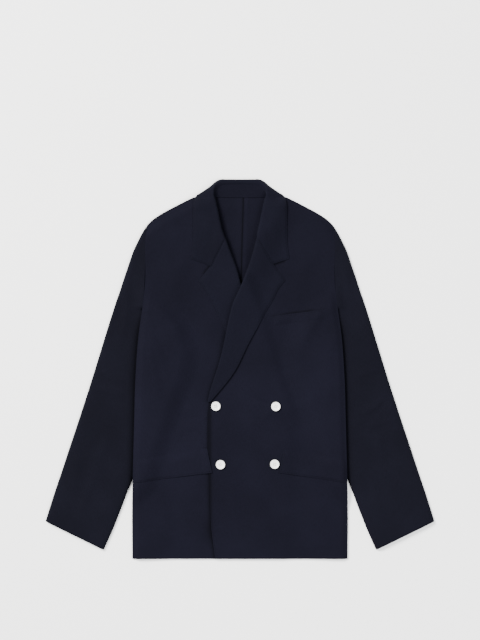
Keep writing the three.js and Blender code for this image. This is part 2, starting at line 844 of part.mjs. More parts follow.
BUTTONS.forEach(([x, y], k) => {
  const step = 7;
  const slopeX = (overMiddle(x + step, y) - overMiddle(x - step, y)) / (2 * step);
  const slopeY = (overMiddle(x, y + step) - overMiddle(x, y - step)) / (2 * step);
  const turn = new THREE.Quaternion().setFromUnitVectors(UP, new THREE.Vector3(-slopeX, -slopeY, 1).normalize());
  const seat = new THREE.Vector3(x, y, overMiddle(x, y) + CLOTH / 2 + 0.3);
  const points = [];
  for (let i = 0; i < button.vertProperties.length; i += button.numProp) {
    const p = new THREE.Vector3(...button.vertProperties.slice(i, i + 3));
    points.push(p.applyQuaternion(turn).add(seat));
  }
  pieces.push(meshOf(`button_${k + 1}`, points, [...button.triVerts], BUTTON_WHITE));
});

const blazer = new THREE.Group();
blazer.name = "double_breasted_blazer";
blazer.add(...pieces);
export default blazer;
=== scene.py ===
"""Looks of a double breasted blazer laid flat on its back. Lengths in the tables are in millimetres:
+X to the viewer's right, +Y to the collar, +Z up."""

import math

import bpy
import numpy as np
from mathutils import Matrix, Vector


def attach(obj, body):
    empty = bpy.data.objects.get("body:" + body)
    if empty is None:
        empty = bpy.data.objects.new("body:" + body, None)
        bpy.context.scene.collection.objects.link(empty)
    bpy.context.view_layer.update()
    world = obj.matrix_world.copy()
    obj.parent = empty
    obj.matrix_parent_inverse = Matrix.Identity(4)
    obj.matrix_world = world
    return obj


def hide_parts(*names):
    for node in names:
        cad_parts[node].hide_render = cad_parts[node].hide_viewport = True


MM = 0.001

# Sizes that the part has too
CLOTH = 1.6
FOLDED_CLOTH = 1.8
SEAM_GAP = 0.3
FOLD_GAP = 1.2
LAPEL_GAP = 0.9
HEM_Y = -396.9
NECK_SEAM_Y = 357.0
ARMPIT = (204.8, 120.8)
SHOULDER_TIP = (195.3, 299.3)
GORGE_Y = 270.0
BREAK_Y = -70.4
SLEEVE_CREST = 8.0
SLEEVE_CREST_AT_ARMPIT = 4.2
ARMPIT_REACH = 90.0
OVER_SLEEVE_CLEARANCE = 1.7
SLEEVE_RAMP = 45.0
FALL_LIFT = 2.6
FALL_RAMP = 30.0
LAYER_RAMP = 30.0
LAYER_MARGIN = 5.0
LAYER_AIR = 0.45
BODY_AIR = 0.9
SIDE_PUFF = 3.5
ARMHOLE_PUFF = 4.6
ROLL_REACH = 65.0
LAPEL_REACH = 55.0
NECK_BLEND = 14.0
BREAK_BLEND = 21.6
SLEEVE_BLEND = 13.0

# The under sleeve reaches nearer to the folds than the part's does, and meets the turn of the top sleeve
UNDERSLEEVE_INSET = 3.4
UNDERSLEEVE_INNER_INSET = 4.0

# Lengths that set how many rows and columns a sheet has
CAP_LENGTH = 155
SLEEVE_LENGTH = 520
LAPEL_LENGTH = 350
LAPEL_WIDTH = 70
FALL_LENGTH = 600
FALL_DEPTH = 90
STAND_LENGTH = 420
STAND_DEPTH = 40
PATCH_WIDTH = 160
PATCH_DEPTH = 54

# [y, half width]
SIDE = [
    (HEM_Y, 224.9), (-300, 225.5), (-228, 223.7), (-108, 220.5), (-24, 218.2), (64, 212.3), (120.8, 204.8),
]
ARMHOLE = [(120.8, 204.8), (175, 198.5), (217, 197.4), (259, 198.5), (299.3, 195.3)]
SHOULDER = [(299.3, 195.3), (311.9, 182.5), (324.5, 163.8), (337.1, 140.7), (349.7, 115.9), (360.2, 93.5)]
SHOULDER_HEIGHT = [(x, y) for y, x in reversed(SHOULDER)]
BACK_SEAM = [(HEM_Y, 3.6), (190, 3.6), (345, 7.5), (NECK_SEAM_Y, 7.5)]
NECKLINE = [(GORGE_Y, 38), (300, 56), (325, 70), (345, 82), (NECK_SEAM_Y, 90)]
COLLAR_ROLL = [(GORGE_Y, 33), (290, 37.5), (310, 42.3), (330, 46.3), (356, 52)]
# [y, x]
OVER_ROLL = [
    (BREAK_Y, -67.2), (-49, -62.8), (10, -43.9), (52, -33.2), (106, -22.1), (138, -13.7), (175, 3.2),
    (232, 24.2), (GORGE_Y, 34.7),
]
OVER_EDGE = [(HEM_Y, -52.1), (-324, -60.9), (-236, -64.1), (-169, -68.3), (BREAK_Y, -67.2)]
UNDER_ROLL = [
    (BREAK_Y, 86), (-49, 78), (10, 55), (52, 42), (106, 27), (138, 17), (178, 1.9), (214, -9),
    (252, -23.7), (GORGE_Y, -30),
]
UNDER_EDGE = [(HEM_Y, 76), (-324, 85), (-236, 88), (-169, 92), (BREAK_Y, 88)]
# [x, y]
OVER_LAPEL_EDGE = [
    (95.6, 184.8), (86.1, 174.3), (78.2, 162.8), (71.5, 148.1), (53.6, 117.6), (34.7, 83), (17.9, 52.5),
    (-11.6, -6.3), (-49.4, -54.6), (-62.4, -69),
]
UNDER_LAPEL_EDGE = [
    (-87, 184), (-76.5, 171), (-66.6, 153.5), (-51, 123.5), (-28.4, 74.6), (-12, 46), (16, -6.3), (52, -52),
    (80.5, -69),
]
# The same, [y, x]
UNDER_LAPEL_OUTER = [(y, x) for x, y in reversed(UNDER_LAPEL_EDGE)]
OVER_LAPEL_OUTER = [(y, x) for x, y in reversed(OVER_LAPEL_EDGE)]
# [y, mm]
ROLL_RADIUS = [(BREAK_Y, 1.5), (50, 1.9), (178, 2.6), (GORGE_Y, 3)]
ROLL_RISE = [
    (BREAK_Y, 0), (60, 0.6), (120, 1.6), (178, 3.2), (230, 7), (GORGE_Y, 9), (300, 8.5), (335, 4.5),
    (NECK_SEAM_Y, 0.6),
]
UNDER_ROLL_RISE = [
    (BREAK_Y, 0), (120, 0), (178, 1.2), (230, 4.4), (GORGE_Y, 7.4), (300, 7.6), (335, 4.5),
    (NECK_SEAM_Y, 0.6),
]
SLEEVE_BEHIND = [
    (250, 132), (206, 132), (178, 112), (144, 82), (126, 35), (132, -5), (158, -72), (186, -155), (212, -236),
    (250, -262),
]
FALL_BEHIND = [(-94, 420), (-94, 356), (-78, 345), (-50, 341), (50, 341), (78, 345), (94, 356), (94, 420)]
CAP_FOLD = [
    (197.6, 296.8), (203.9, 286.7), (210.4, 274.1), (216.5, 261.5), (222.2, 248.9), (226.8, 236.3),
    (235.2, 211.1), (243.8, 185.9), (252, 161),
]
OUTER_FOLD = [
    (252, 161), (258.1, 143.9), (274.3, 93.5), (289.8, 43.1), (305.3, -7.4), (321.3, -57.8), (337.7, -108.2),
    (354.5, -158.6), (371.1, -209), (388.1, -259.4), (406.6, -318.2),
]
CAP_PIVOT = [(204.9, 123.6), (204.6, 121.6), (203, 119.8)]
INNER_FOLD = [
    (203, 119.8), (178, 98), (151, 67), (140, 30), (146, -2), (160, -40), (171, -68), (198.5, -150),
    (223.7, -228), (236.3, -259.4), (245.5, -284.6), (255.4, -309.8), (265.4, -335), (284.6, -378),
]
SLEEVE_SECTION = [(0.8, 0), (0.9, 0.32), (2.6, 0.64), (6.5, 0.85), (15, 0.96), (32, 1)]

# Creases: [from x, from y, to x, to y, bow, half width, height]. A ridge, with a trough beside it.
FRONT_CREASES = [
    (-192, 142, -112, 40, 12, 9, 1.0),
    (-190, 104, -140, -30, -10, 11, 1.2),
    (-196, 60, -172, -90, 7, 8, 0.8),
    (-168, 262, -138, 150, 8, 12, 0.9),
    (-112, 250, -128, 120, -9, 15, 0.6),
    (-75, -92, -176, -52, 10, 10, 0.7),
    (-82, -120, -150, -150, -8, 8, 0.5),
    (-172, -252, -160, -385, 6, 14, 1.1),
    (-118, -262, -128, -392, -5, 18, 0.8),
    (-20, -215, -32, -380, 7, 16, 0.7),
    (30, -90, 18, -190, -4, 13, 0.5),
    (38, -232, 48, -390, -6, 20, 0.9),
    (112, -250, 98, -370, 8, 13, 0.7),
    (168, -262, 176, -392, -6, 16, 1.2),
    (88, -86, 180, -40, -12, 11, 0.9),
    (92, -112, 156, -146, 6, 8, 0.5),
    (190, 136, 128, 30, -12, 10, 1.1),
    (194, 88, 152, -60, 9, 9, 0.9),
    (198, 30, 184, -110, -6, 8, 0.7),
    (172, 258, 128, 160, -10, 13, 0.8),
    (118, 262, 132, 176, 7, 12, 0.5),
    (10, 30, 62, -50, 8, 14, 0.6),
    (60, 60, 104, -30, -10, 12, 0.6),
    (-150, 312, -104, 268, -6, 9, 0.5),
    (152, 312, 110, 272, 6, 10, 0.6),
]
SLEEVE_CREASES = {
    -1: [
        (216, 240, 246, 96, 7, 9, 0.9),
        (232, 170, 268, 20, -8, 11, 1.2),
        (296, 8, 232, -34, 7, 7, 1.3),
        (306, -38, 238, -66, -6, 8, 1.1),
        (314, -84, 262, -118, 5, 6, 0.7),
        (268, -130, 306, -268, 9, 12, 1.0),
        (336, -150, 372, -290, -8, 13, 1.1),
        (300, -215, 334, -330, 5, 9, 0.7),
        (356, -262, 300, -318, 6, 7, 0.6),
    ],
    1: [
        (220, 226, 240, 112, -6, 10, 1.0),
        (240, 150, 280, -10, 9, 12, 1.0),
        (300, -2, 236, -22, -6, 8, 1.1),
        (304, -56, 246, -92, 6, 7, 1.4),
        (318, -110, 258, -128, -5, 7, 0.8),
        (290, -120, 312, -240, -8, 11, 1.1),
        (346, -168, 364, -302, 7, 12, 0.9),
        (278, -226, 306, -338, -6, 10, 0.8),
        (366, -276, 316, -342, -5, 7, 0.5),
    ],
}
BACK_CREASES = [
    (-150, 250, -90, 60, 12, 16, 0.45),
    (-60, 120, -80, -120, -8, 20, 0.35),
    (-110, -120, -96, -330, 9, 18, 0.4),
    (60, 200, 82, -20, 8, 20, 0.4),
    (110, -60, 92, -300, -10, 18, 0.45),
    (150, 260, 110, 90, -9, 14, 0.4),
    (20, -160, 36, -380, 6, 22, 0.35),
]

# How light each panel's cloth looks down its length, by the side of the body: [y, share]
FRONT_TONE = {
    -1: [(-360, 0.98), (-276, 0.97), (-171, 1.11), (-66, 1.06), (39, 0.92), (144, 0.87), (280, 0.87)],
    1: [(-360, 0.96), (-276, 0.90), (-171, 0.96), (-66, 0.97), (39, 0.93), (144, 0.87), (280, 0.85)],
}
SLEEVE_TONE = {
    -1: [(-400, 1.06), (-276, 1.06), (-171, 1.07), (-66, 1.0), (300, 1.0)],
    1: [(-400, 1.14), (-276, 1.15), (-171, 1.08), (0, 1.08), (144, 1.13), (300, 1.04)],
}

# [x, y]
BUTTONS = [(-50.4, -77.5), (74.8, -77.9), (-40.7, -199.5), (72.5, -198.5)]

# Corners of what lies on the fronts: front upper, front lower, rear lower and rear upper
FLAP_RIGHT = [(-68.9, -165), (-57.8, -217), (-221.8, -237), (-221.8, -184)]
FLAP_LEFT = [(92.4, -165), (80.9, -217), (221.8, -237), (221.8, -184)]
WELT = [(66.2, 110.3), (68.3, 87.2), (179.6, 101.9), (177.5, 125)]


def smooth(t):
    """A soft step from 0 to 1, for t from 0 to 1."""
    u = np.clip(t, 0, 1)
    return u * u * (3 - 2 * u)


def lerp(a, b, t):
    return a + (b - a) * t


def ramp(distance, width):
    """1 inside a border, falling to 0 at a width outside it."""
    return smooth(1 + distance / width)


def along(table, place):
    """The value at a place, on a smooth curve through a table of places and values."""
    t = np.asarray(table, float)
    at, value = t[:, 0], t[:, 1]
    slope = np.empty(len(at))
    slope[1:-1] = (value[2:] - value[:-2]) / (at[2:] - at[:-2])
    slope[0] = (value[1] - value[0]) / (at[1] - at[0])
    slope[-1] = (value[-1] - value[-2]) / (at[-1] - at[-2])
    p = np.clip(place, at[0], at[-1])
    i = np.clip(np.searchsorted(at, p, side="left") - 1, 0, len(at) - 2)
    width = at[i + 1] - at[i]
    u = (p - at[i]) / width
    h = u * u * (3 - 2 * u)
    rise = u * (1 - u) ** 2 * slope[i] - u * u * (1 - u) * slope[i + 1]
    return value[i] + (value[i + 1] - value[i]) * h + width * rise


def tone(table, side, y):
    """How light a panel is at y."""
    at, share = zip(*table[side])
    return np.interp(y, at, share)


def half_width(y):
    """From the middle to the body's side, armhole or shoulder line."""
    y = np.asarray(y, float)
    low = np.where(y <= ARMPIT[1], along(SIDE, y), along(ARMHOLE, y))
    return np.where(y <= SHOULDER_TIP[1], low, along(SHOULDER, y))


def roll_radius(y):
    return along(ROLL_RADIUS, y)


def inner_edge(y, roll, edge, side):
    """A front's edge: the neckline, then beside the lapel's roll, then the closing edge."""
    y = np.asarray(y, float)
    fold = along(roll, y) + side * (roll_radius(y) + FOLD_GAP)
    neck = side * along(NECKLINE, y)
    upper = lerp(fold, neck, np.clip((y - GORGE_Y) / NECK_BLEND, 0, 1))
    return lerp(upper, along(edge, y), np.clip((BREAK_Y - y) / BREAK_BLEND, 0, 1))


def over_inner(y):
    return inner_edge(y, OVER_ROLL, OVER_EDGE, 1)


def under_inner(y):
    return inner_edge(y, UNDER_ROLL, UNDER_EDGE, -1)


def inside_by(outline, x, y):
    """How far a place lies inside a closed outline, or outside it where that is negative."""
    nearest = np.full(np.broadcast(x, y).shape, 1e9)
    inside = np.zeros(nearest.shape, bool)
    for (ax, ay), (bx, by) in zip(outline, outline[1:] + outline[:1]):
        dx, dy = bx - ax, by - ay
        t = np.clip(((x - ax) * dx + (y - ay) * dy) / (dx ** 2 + dy ** 2), 0, 1)
        nearest = np.minimum(nearest, np.hypot(x - lerp(ax, bx, t), y - lerp(ay, by, t)))
        if ay != by:
            inside ^= ((ay > y) != (by > y)) & (x < ax + dx * (y - ay) / dy)
    return np.where(inside, nearest, -nearest)


def creased(creases, x, y):
    """The height of a table of creases at each place."""
    total = np.zeros(np.broadcast(x, y).shape)
    for x0, y0, x1, y1, bow, width, height in creases:
        length = math.hypot(x1 - x0, y1 - y0)
        dx, dy = (x1 - x0) / length, (y1 - y0) / length
        t = ((x - x0) * dx + (y - y0) * dy) / length
        off = (y - y0) * dx - (x - x0) * dy - bow * 4 * t * (1 - t)
        spread = width * (0.7 + 0.7 * np.clip(t, 0, 1))
        fade = smooth(t / 0.3) * smooth((1 - t) / 0.4)
        ridge = np.exp(-((off / spread) ** 2)) - 0.5 * np.exp(-(((off - 1.7 * spread) / spread) ** 2))
        total += height * ridge * fade
    return total


def swell(x, y, seed, wavelength):
    """Slow unevenness between -1 and 1."""
    k = 2 * math.pi / wavelength
    a = np.sin(k * (x * 0.83 + y * 0.37) + seed) * np.sin(k * (y * 0.71 - x * 0.29) + 2.1 * seed)
    b = np.sin(k * 1.7 * (x * 0.42 - y * 0.88) + 3.3 * seed)
    return 0.65 * a + 0.35 * b


def sleeve_crest(x, y):
    """The height of a sleeve's top, which is lower near the armpit."""
    away = np.hypot(np.abs(x) - ARMPIT[0], y - ARMPIT[1])
    return lerp(SLEEVE_CREST_AT_ARMPIT, SLEEVE_CREST, smooth(away / ARMPIT_REACH))


def back_middle(x, y):
    """The middle of the back's cloth, over the sleeves and the collar's fall that lie behind it."""
    sleeve = sleeve_crest(x, y) + OVER_SLEEVE_CLEARANCE
    sleeve = sleeve * ramp(inside_by(SLEEVE_BEHIND, np.abs(x), y), SLEEVE_RAMP)
    fall = FALL_LIFT * ramp(inside_by(FALL_BEHIND, x, y), FALL_RAMP)
    relief = np.clip(creased(BACK_CREASES, x, y), 0, 1) * smooth((half_width(y) - np.abs(x)) / 30)
    return CLOTH / 2 + sleeve + fall + relief


# Creases fade over these distances towards the side seams and the collar, and over the lapel below
SEAM_FADE = 16
COLLAR_FADE = 30
UNDER_LAPEL_FADE = 20
SHOULDER_SLOPE = 0.35
PRESSED_SHARE = 0.85
CREASE_SHARE = 0.85
DEEPEST_TROUGH = -0.4
# Slow unevenness: [height, seed, wavelength]
FRONT_SWELLS = [(0.32, 1.3, 118), (0.1, 4.1, 47)]


def front_relief(x, y):
    """Creases of both fronts and of what lies on them. They fade towards the seams and the collar."""
    inward = half_width(y) - np.abs(x)
    fade = smooth(inward / SEAM_FADE) * smooth((352 - np.abs(x) * SHOULDER_SLOPE - y) / COLLAR_FADE)
    under_lapels = smooth((np.minimum(x - along(UNDER_LAPEL_OUTER, y), 96 - x) + 6) / UNDER_LAPEL_FADE)
    pressed = 1 - PRESSED_SHARE * under_lapels * smooth((y + 60) / 60)
    relief = CREASE_SHARE * creased(FRONT_CREASES, x, y)
    for height, seed, wavelength in FRONT_SWELLS:
        relief = relief + height * swell(x, y, seed, wavelength)
    return np.maximum(relief, DEEPEST_TROUGH) * fade * pressed


# How far in from the side and the shoulder line the seams' closing and the puffs reach
SIDE_SEAM_REACH = 14
SIDE_PUFF_REACH = 90
ARMHOLE_PUFF_REACH = 110
SHOULDER_SEAM_REACH = 28


def body_air(x, y):
    """The air between back and front, which are puffed apart at the sides and armholes."""
    inward = half_width(y) - np.abs(x)
    opened = smooth((y - 132) / 40)
    from_seam = smooth(inward / SIDE_SEAM_REACH)
    side = SIDE_PUFF * from_seam * (1 - smooth((inward - SIDE_SEAM_REACH) / SIDE_PUFF_REACH))
    armhole = ARMHOLE_PUFF * (1 - smooth(inward / ARMHOLE_PUFF_REACH))
    below = along(SHOULDER_HEIGHT, np.abs(x)) - y
    shoulder = lerp(1, smooth(below / SHOULDER_SEAM_REACH), smooth((np.abs(x) - 55) / 25))
    seam = lerp(from_seam, 1, opened)
    return SEAM_GAP + (BODY_AIR - SEAM_GAP) * seam * shoulder + lerp(side, armhole, opened) * shoulder


def front_middle(x, y):
    """The middle of a front's cloth where it lies on the back alone."""
    return back_middle(x, y) + CLOTH + body_air(x, y) + front_relief(x, y)


def roll_rise(table, y, from_edge):
    """How much a front rises to its roll, by the distance from its edge."""
    return along(table, y) * (1 - smooth(from_edge / ROLL_REACH))


def under_middle(x, y):
    """The middle of the right front's cloth, which lies under the left."""
    return front_middle(x, y) + roll_rise(UNDER_ROLL_RISE, y, under_inner(y) - x)


def over_middle(x, y):
    """The middle of the left front's cloth, over the right front and its lapel."""
    to_under = under_inner(y) - x
    under = ramp(to_under + LAYER_MARGIN, LAYER_RAMP)
    fold = 2 * roll_radius(y)
    inside = np.minimum(np.minimum(x - along(UNDER_LAPEL_OUTER, y), to_under + fold), y - BREAK_Y)
    stand = np.maximum(fold - CLOTH, LAPEL_GAP) + FOLDED_CLOTH
    lapel = stand * ramp(inside + 2 * LAYER_MARGIN, LAYER_RAMP) * smooth((215 - y) / 20)
    layer = (CLOTH + LAYER_AIR + roll_rise(UNDER_ROLL_RISE, y, to_under)) * under
    return front_middle(x, y) + roll_rise(ROLL_RISE, y, x - over_inner(y)) + layer + lapel


def height_at(middle, x, y, *rest):
    """A height field's value at one place."""
    return float(middle(np.float64(x), np.float64(y), *rest))


def lapel_middle(x, y, front, inner, side):
    """The middle of a lapel's cloth on its front, highest at the roll."""
    flat = CLOTH / 2 + LAPEL_GAP + FOLDED_CLOTH / 2
    stand = np.maximum(0, 2 * roll_radius(y) - flat)
    return front(x, y) + flat + stand * (1 - smooth(side * (x - inner(y)) / LAPEL_REACH))


TINY = 1e-6


def smooth_line(points, per=24):
    """A fine polyline on a smooth curve through the points."""
    p = np.asarray(points, float)
    ends = np.vstack([2 * p[0] - p[1], p, 2 * p[-1] - p[-2]])
    share = np.linspace(0, 1, per, endpoint=False)[:, None]
    out = []
    for a, b, c, d in zip(ends, ends[1:], ends[2:], ends[3:]):
        gaps = [max(np.linalg.norm(end - start), TINY) ** 0.5 for start, end in ((a, b), (b, c), (c, d))]
        knots = np.cumsum([0, *gaps])
        t = lerp(knots[1], knots[2], share)

        def between(u, v, i, j):
            return (u * (knots[j] - t) + v * (t - knots[i])) / (knots[j] - knots[i])

        ab, bc, cd = between(a, b, 0, 1), between(b, c, 1, 2), between(c, d, 2, 3)
        out.append(between(between(ab, bc, 0, 2), between(bc, cd, 1, 3), 1, 2))
    return np.vstack([*out, p[-1:]])


def on_line_at(at, run, line):
    """Points of a polyline at given runs, where run says how far along each of its own points is."""
    return np.stack([np.interp(at, run, line[:, k]) for k in range(line.shape[1])], axis=-1)


def on_line(line, shares):
    """Points at shares of a polyline's length."""
    line = np.asarray(line, float)
    run = np.concatenate([[0], np.cumsum(np.linalg.norm(np.diff(line, axis=0), axis=1))])
    return on_line_at(np.asarray(shares) * run[-1], run, line)


# Distances of the rows nearest to an edge, drawn together where a sheet is narrower than the last value
NEAR_EDGE = np.array([0, 0.25, 0.6, 1.1, 1.8, 3.0])
NARROW = 9
# How far an edge is rounded, the least share of its thickness there, and how far it is pressed thin
EDGE_ROUND = 0.8
EDGE_LEAST = 0.06
PRESSED_REACH = 3.5
# How deep in from a true edge a seam counts as lying
SEAM_DEPTH = 0.5
FAR = 99.0
LEAST_NORMAL = 1e-9
LEAST_Z = 0.03


def edged(length, step, count=None):
    """Distances from 0 to length, about step apart or so many, and closer at both ends."""
    ends = NEAR_EDGE * min(1, length / NARROW)
    inner = np.linspace(ends[-1], length - ends[-1], count or max(2, int(length / step)))
    return np.concatenate([ends[:-1], inner, length - ends[:-1][::-1]])


# Building

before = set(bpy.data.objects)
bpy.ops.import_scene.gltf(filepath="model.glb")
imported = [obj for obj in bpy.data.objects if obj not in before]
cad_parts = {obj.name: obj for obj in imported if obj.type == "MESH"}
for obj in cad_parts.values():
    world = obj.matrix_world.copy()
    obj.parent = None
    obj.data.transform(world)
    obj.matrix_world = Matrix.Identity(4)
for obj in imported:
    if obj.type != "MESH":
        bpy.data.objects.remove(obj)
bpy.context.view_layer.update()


def add_mesh(name, points, faces, material, soft=False):
    mesh = bpy.data.meshes.new(name)
    mesh.from_pydata(points, [], faces)
    if soft:
        mesh.shade_smooth()
    mesh.materials.append(material)
    made = bpy.data.objects.new(name, mesh)
    bpy.context.scene.collection.objects.link(made)
    return made


def build_sheet(name, grid, thick, material, finished="lrtb", shade=None, thin=0.0,
                sewn=False):
    """A sheet of cloth about a grid of middle points, that stands for a CAD node. Its finished edges, of
    left, right, top and bottom, are softly rounded, and the others end in seams, as does the part of a
    finished edge that sewn marks. thin is the share of its thickness that is pressed away at an edge."""
    rows, cols = grid.shape[:2]
    across = np.gradient(grid, axis=1)
    down = np.gradient(grid, axis=0)
    normal = np.cross(across, down)
    normal /= np.maximum(np.linalg.norm(normal, axis=2, keepdims=True), LEAST_NORMAL)
    turned = normal[..., 2].mean() < 0
    if turned:
        normal = -normal
    step_u = np.linalg.norm(np.diff(grid, axis=1), axis=2)
    step_v = np.linalg.norm(np.diff(grid, axis=0), axis=2)
    u = np.concatenate([np.zeros((rows, 1)), np.cumsum(step_u, axis=1)], axis=1)
    v = np.concatenate([np.zeros((1, cols)), np.cumsum(step_v, axis=0)], axis=0)
    sides = {"l": u, "r": u[:, -1:] - u, "t": v, "b": v[-1:] - v}
    away = np.full(u.shape, FAR)
    in_seams = [sides[s] + SEAM_DEPTH for s in "lrtb" if s not in finished]
    edge = np.minimum.reduce([sides[s] for s in finished] or [away])
    nearest = np.minimum.reduce([edge, *in_seams])
    by_u = np.minimum(*[sides[s] if s in finished else away for s in "lr"])
    run = np.where(by_u <= edge + TINY, v, u)
    nearest = np.where(sewn, np.maximum(nearest, SEAM_DEPTH), nearest)
    round_off = np.sqrt(np.clip(1 - (1 - np.clip(nearest / EDGE_ROUND, 0, 1)) ** 2, EDGE_LEAST, 1))
    worn = np.where(sewn, 0, thin) * np.exp(-((edge / PRESSED_REACH) ** 2))
    offset = normal * (thick / 2 * (1 - worn) * round_off)[..., None]
    middle = grid - normal * (thick / 2 * worn)[..., None]
    upper = middle + offset
    lower = middle - offset
    points = np.concatenate([upper.reshape(-1, 3), lower.reshape(-1, 3)])
    points[:, 2] = np.maximum(points[:, 2], LEAST_Z)
    count = rows * cols
    a = (np.arange(rows - 1)[:, None] * cols + np.arange(cols - 1)).reshape(-1)
    top = np.stack([a, a + 1, a + cols + 1, a + cols], axis=1)
    bottom = np.stack([a, a + cols, a + cols + 1, a + 1], axis=1) + count
    ring = np.concatenate([
        np.arange(cols - 1),
        np.arange(rows - 1) * cols + cols - 1,
        (rows - 1) * cols + np.arange(cols - 1, 0, -1),
        np.arange(rows - 1, 0, -1) * cols,
    ])
    after = np.roll(ring, -1)
    rim = np.stack([after, ring, ring + count, after + count], axis=1)
    faces = np.concatenate([top, bottom, rim])
    if turned:
        faces = faces[:, ::-1]
    piece = add_mesh(name, (points * MM).tolist(), faces.tolist(), material, soft=True)
    mesh = piece.data
    uv = np.stack([u - u[:, -1:] / 2, v], axis=-1).reshape(-1, 2)
    uv = np.concatenate([uv, uv * [-1, 1]])
    corner = np.empty(len(mesh.loops), np.int32)
    mesh.loops.foreach_get("vertex_index", corner)
    mesh.uv_layers.new(name="cloth").data.foreach_set("uv", uv[corner].astype(np.float32).ravel())
    shade = np.ones(u.shape) if shade is None else shade
    for label, values in (("edge", edge), ("run", run), ("shade", shade)):
        both = np.tile(values.ravel(), 2).astype(np.float32)
        mesh.attributes.new(label, "FLOAT", "POINT").data.foreach_set("value", both)
    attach(piece, "root")
    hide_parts(name.removeprefix("cloth_"))


# Materials


def material_tree(name):
    material = bpy.data.materials.new(name)
    material.use_nodes = True
    tree = material.node_tree
    tree.nodes.clear()
    return material, tree


def new(tree, kind, **values):
    """A node, with values for its sockets or its settings."""
    node = tree.nodes.new(kind)
    for key, value in values.items():
        if key in node.inputs:
            node.inputs[key].default_value = value
        else:
            setattr(node, key, value)
    return node


def object_place(tree):
    return new(tree, "ShaderNodeTexCoord").outputs["Object"]


def fed(tree, kind, socket, source, output, **values):
    """An output of a node that has one socket linked to a source."""
    node = new(tree, kind, **values)
    tree.links.new(source, node.inputs[socket])
    return node.outputs[output]


def texture(tree, vector, kind, **values):
    return fed(tree, kind, "Vector", vector, "Fac", **values)


def mapped(tree, vector, **values):
    return fed(tree, "ShaderNodeMapping", "Vector", vector, "Vector", **values)


def math_node(tree, operation, a, b=None):
    node = new(tree, "ShaderNodeMath", operation=operation)
    for socket, value in zip(node.inputs, (a, b)):
        if isinstance(value, (int, float)):
            socket.default_value = value
        elif value is not None:
            tree.links.new(value, socket)
    return node.outputs[0]


def span(tree, value, from_low, from_high, to_low, to_high):
    """A value moved from one range to another, and kept inside it."""
    limits = {"From Min": from_low, "From Max": from_high, "To Min": to_low, "To Max": to_high}
    return fed(tree, "ShaderNodeMapRange", "Value", value, "Result", **limits)


def two_tone(tree, value, dark, light):
    node = new(tree, "ShaderNodeValToRGB")
    for element, colour in zip(node.color_ramp.elements, (dark, light)):
        element.color = (*colour, 1)
    tree.links.new(value, node.inputs["Fac"])
    return node.outputs["Color"]


def scaled(tree, colour, share):
    """A colour, given or from a socket, times a share."""
    node = new(tree, "ShaderNodeVectorMath", operation="SCALE")
    if isinstance(colour, tuple):
        node.inputs[0].default_value = colour
    else:
        tree.links.new(colour, node.inputs[0])
    tree.links.new(share, node.inputs["Scale"])
    return node.outputs["Vector"]


def bumped(tree, height, strength, distance):
    return fed(tree, "ShaderNodeBump", "Height", height, "Normal", Strength=strength, Distance=distance)


def finish_surface(tree, colour, normal=None, **values):
    """The shader and output that a material ends with."""
    shader = new(tree, "ShaderNodeBsdfPrincipled", **values)
    tree.links.new(colour, shader.inputs["Base Color"])
    if normal is not None:
        tree.links.new(normal, shader.inputs["Normal"])
    out = new(tree, "ShaderNodeOutputMaterial")
    tree.links.new(shader.outputs["BSDF"], out.inputs["Surface"])


# Millimetres, since the cloth's UV map is in them. A wave texture of scale ONE_A_UNIT repeats once a unit.
TWILL_PITCH = 0.9
THREAD_PITCH = 0.55
TWILL_TURN = math.radians(58)
ONE_A_UNIT = 0.314
STITCH_ROW = 3.2
STITCH_LENGTH = 3.4
PRESSED_LINE = 1.6
CLOTH_FINISH = {
    "Roughness": 0.86, "Specular IOR Level": 0.035, "Sheen Weight": 0.012, "Sheen Roughness": 0.45,
    "Sheen Tint": (0.62, 0.66, 0.85, 1),
}


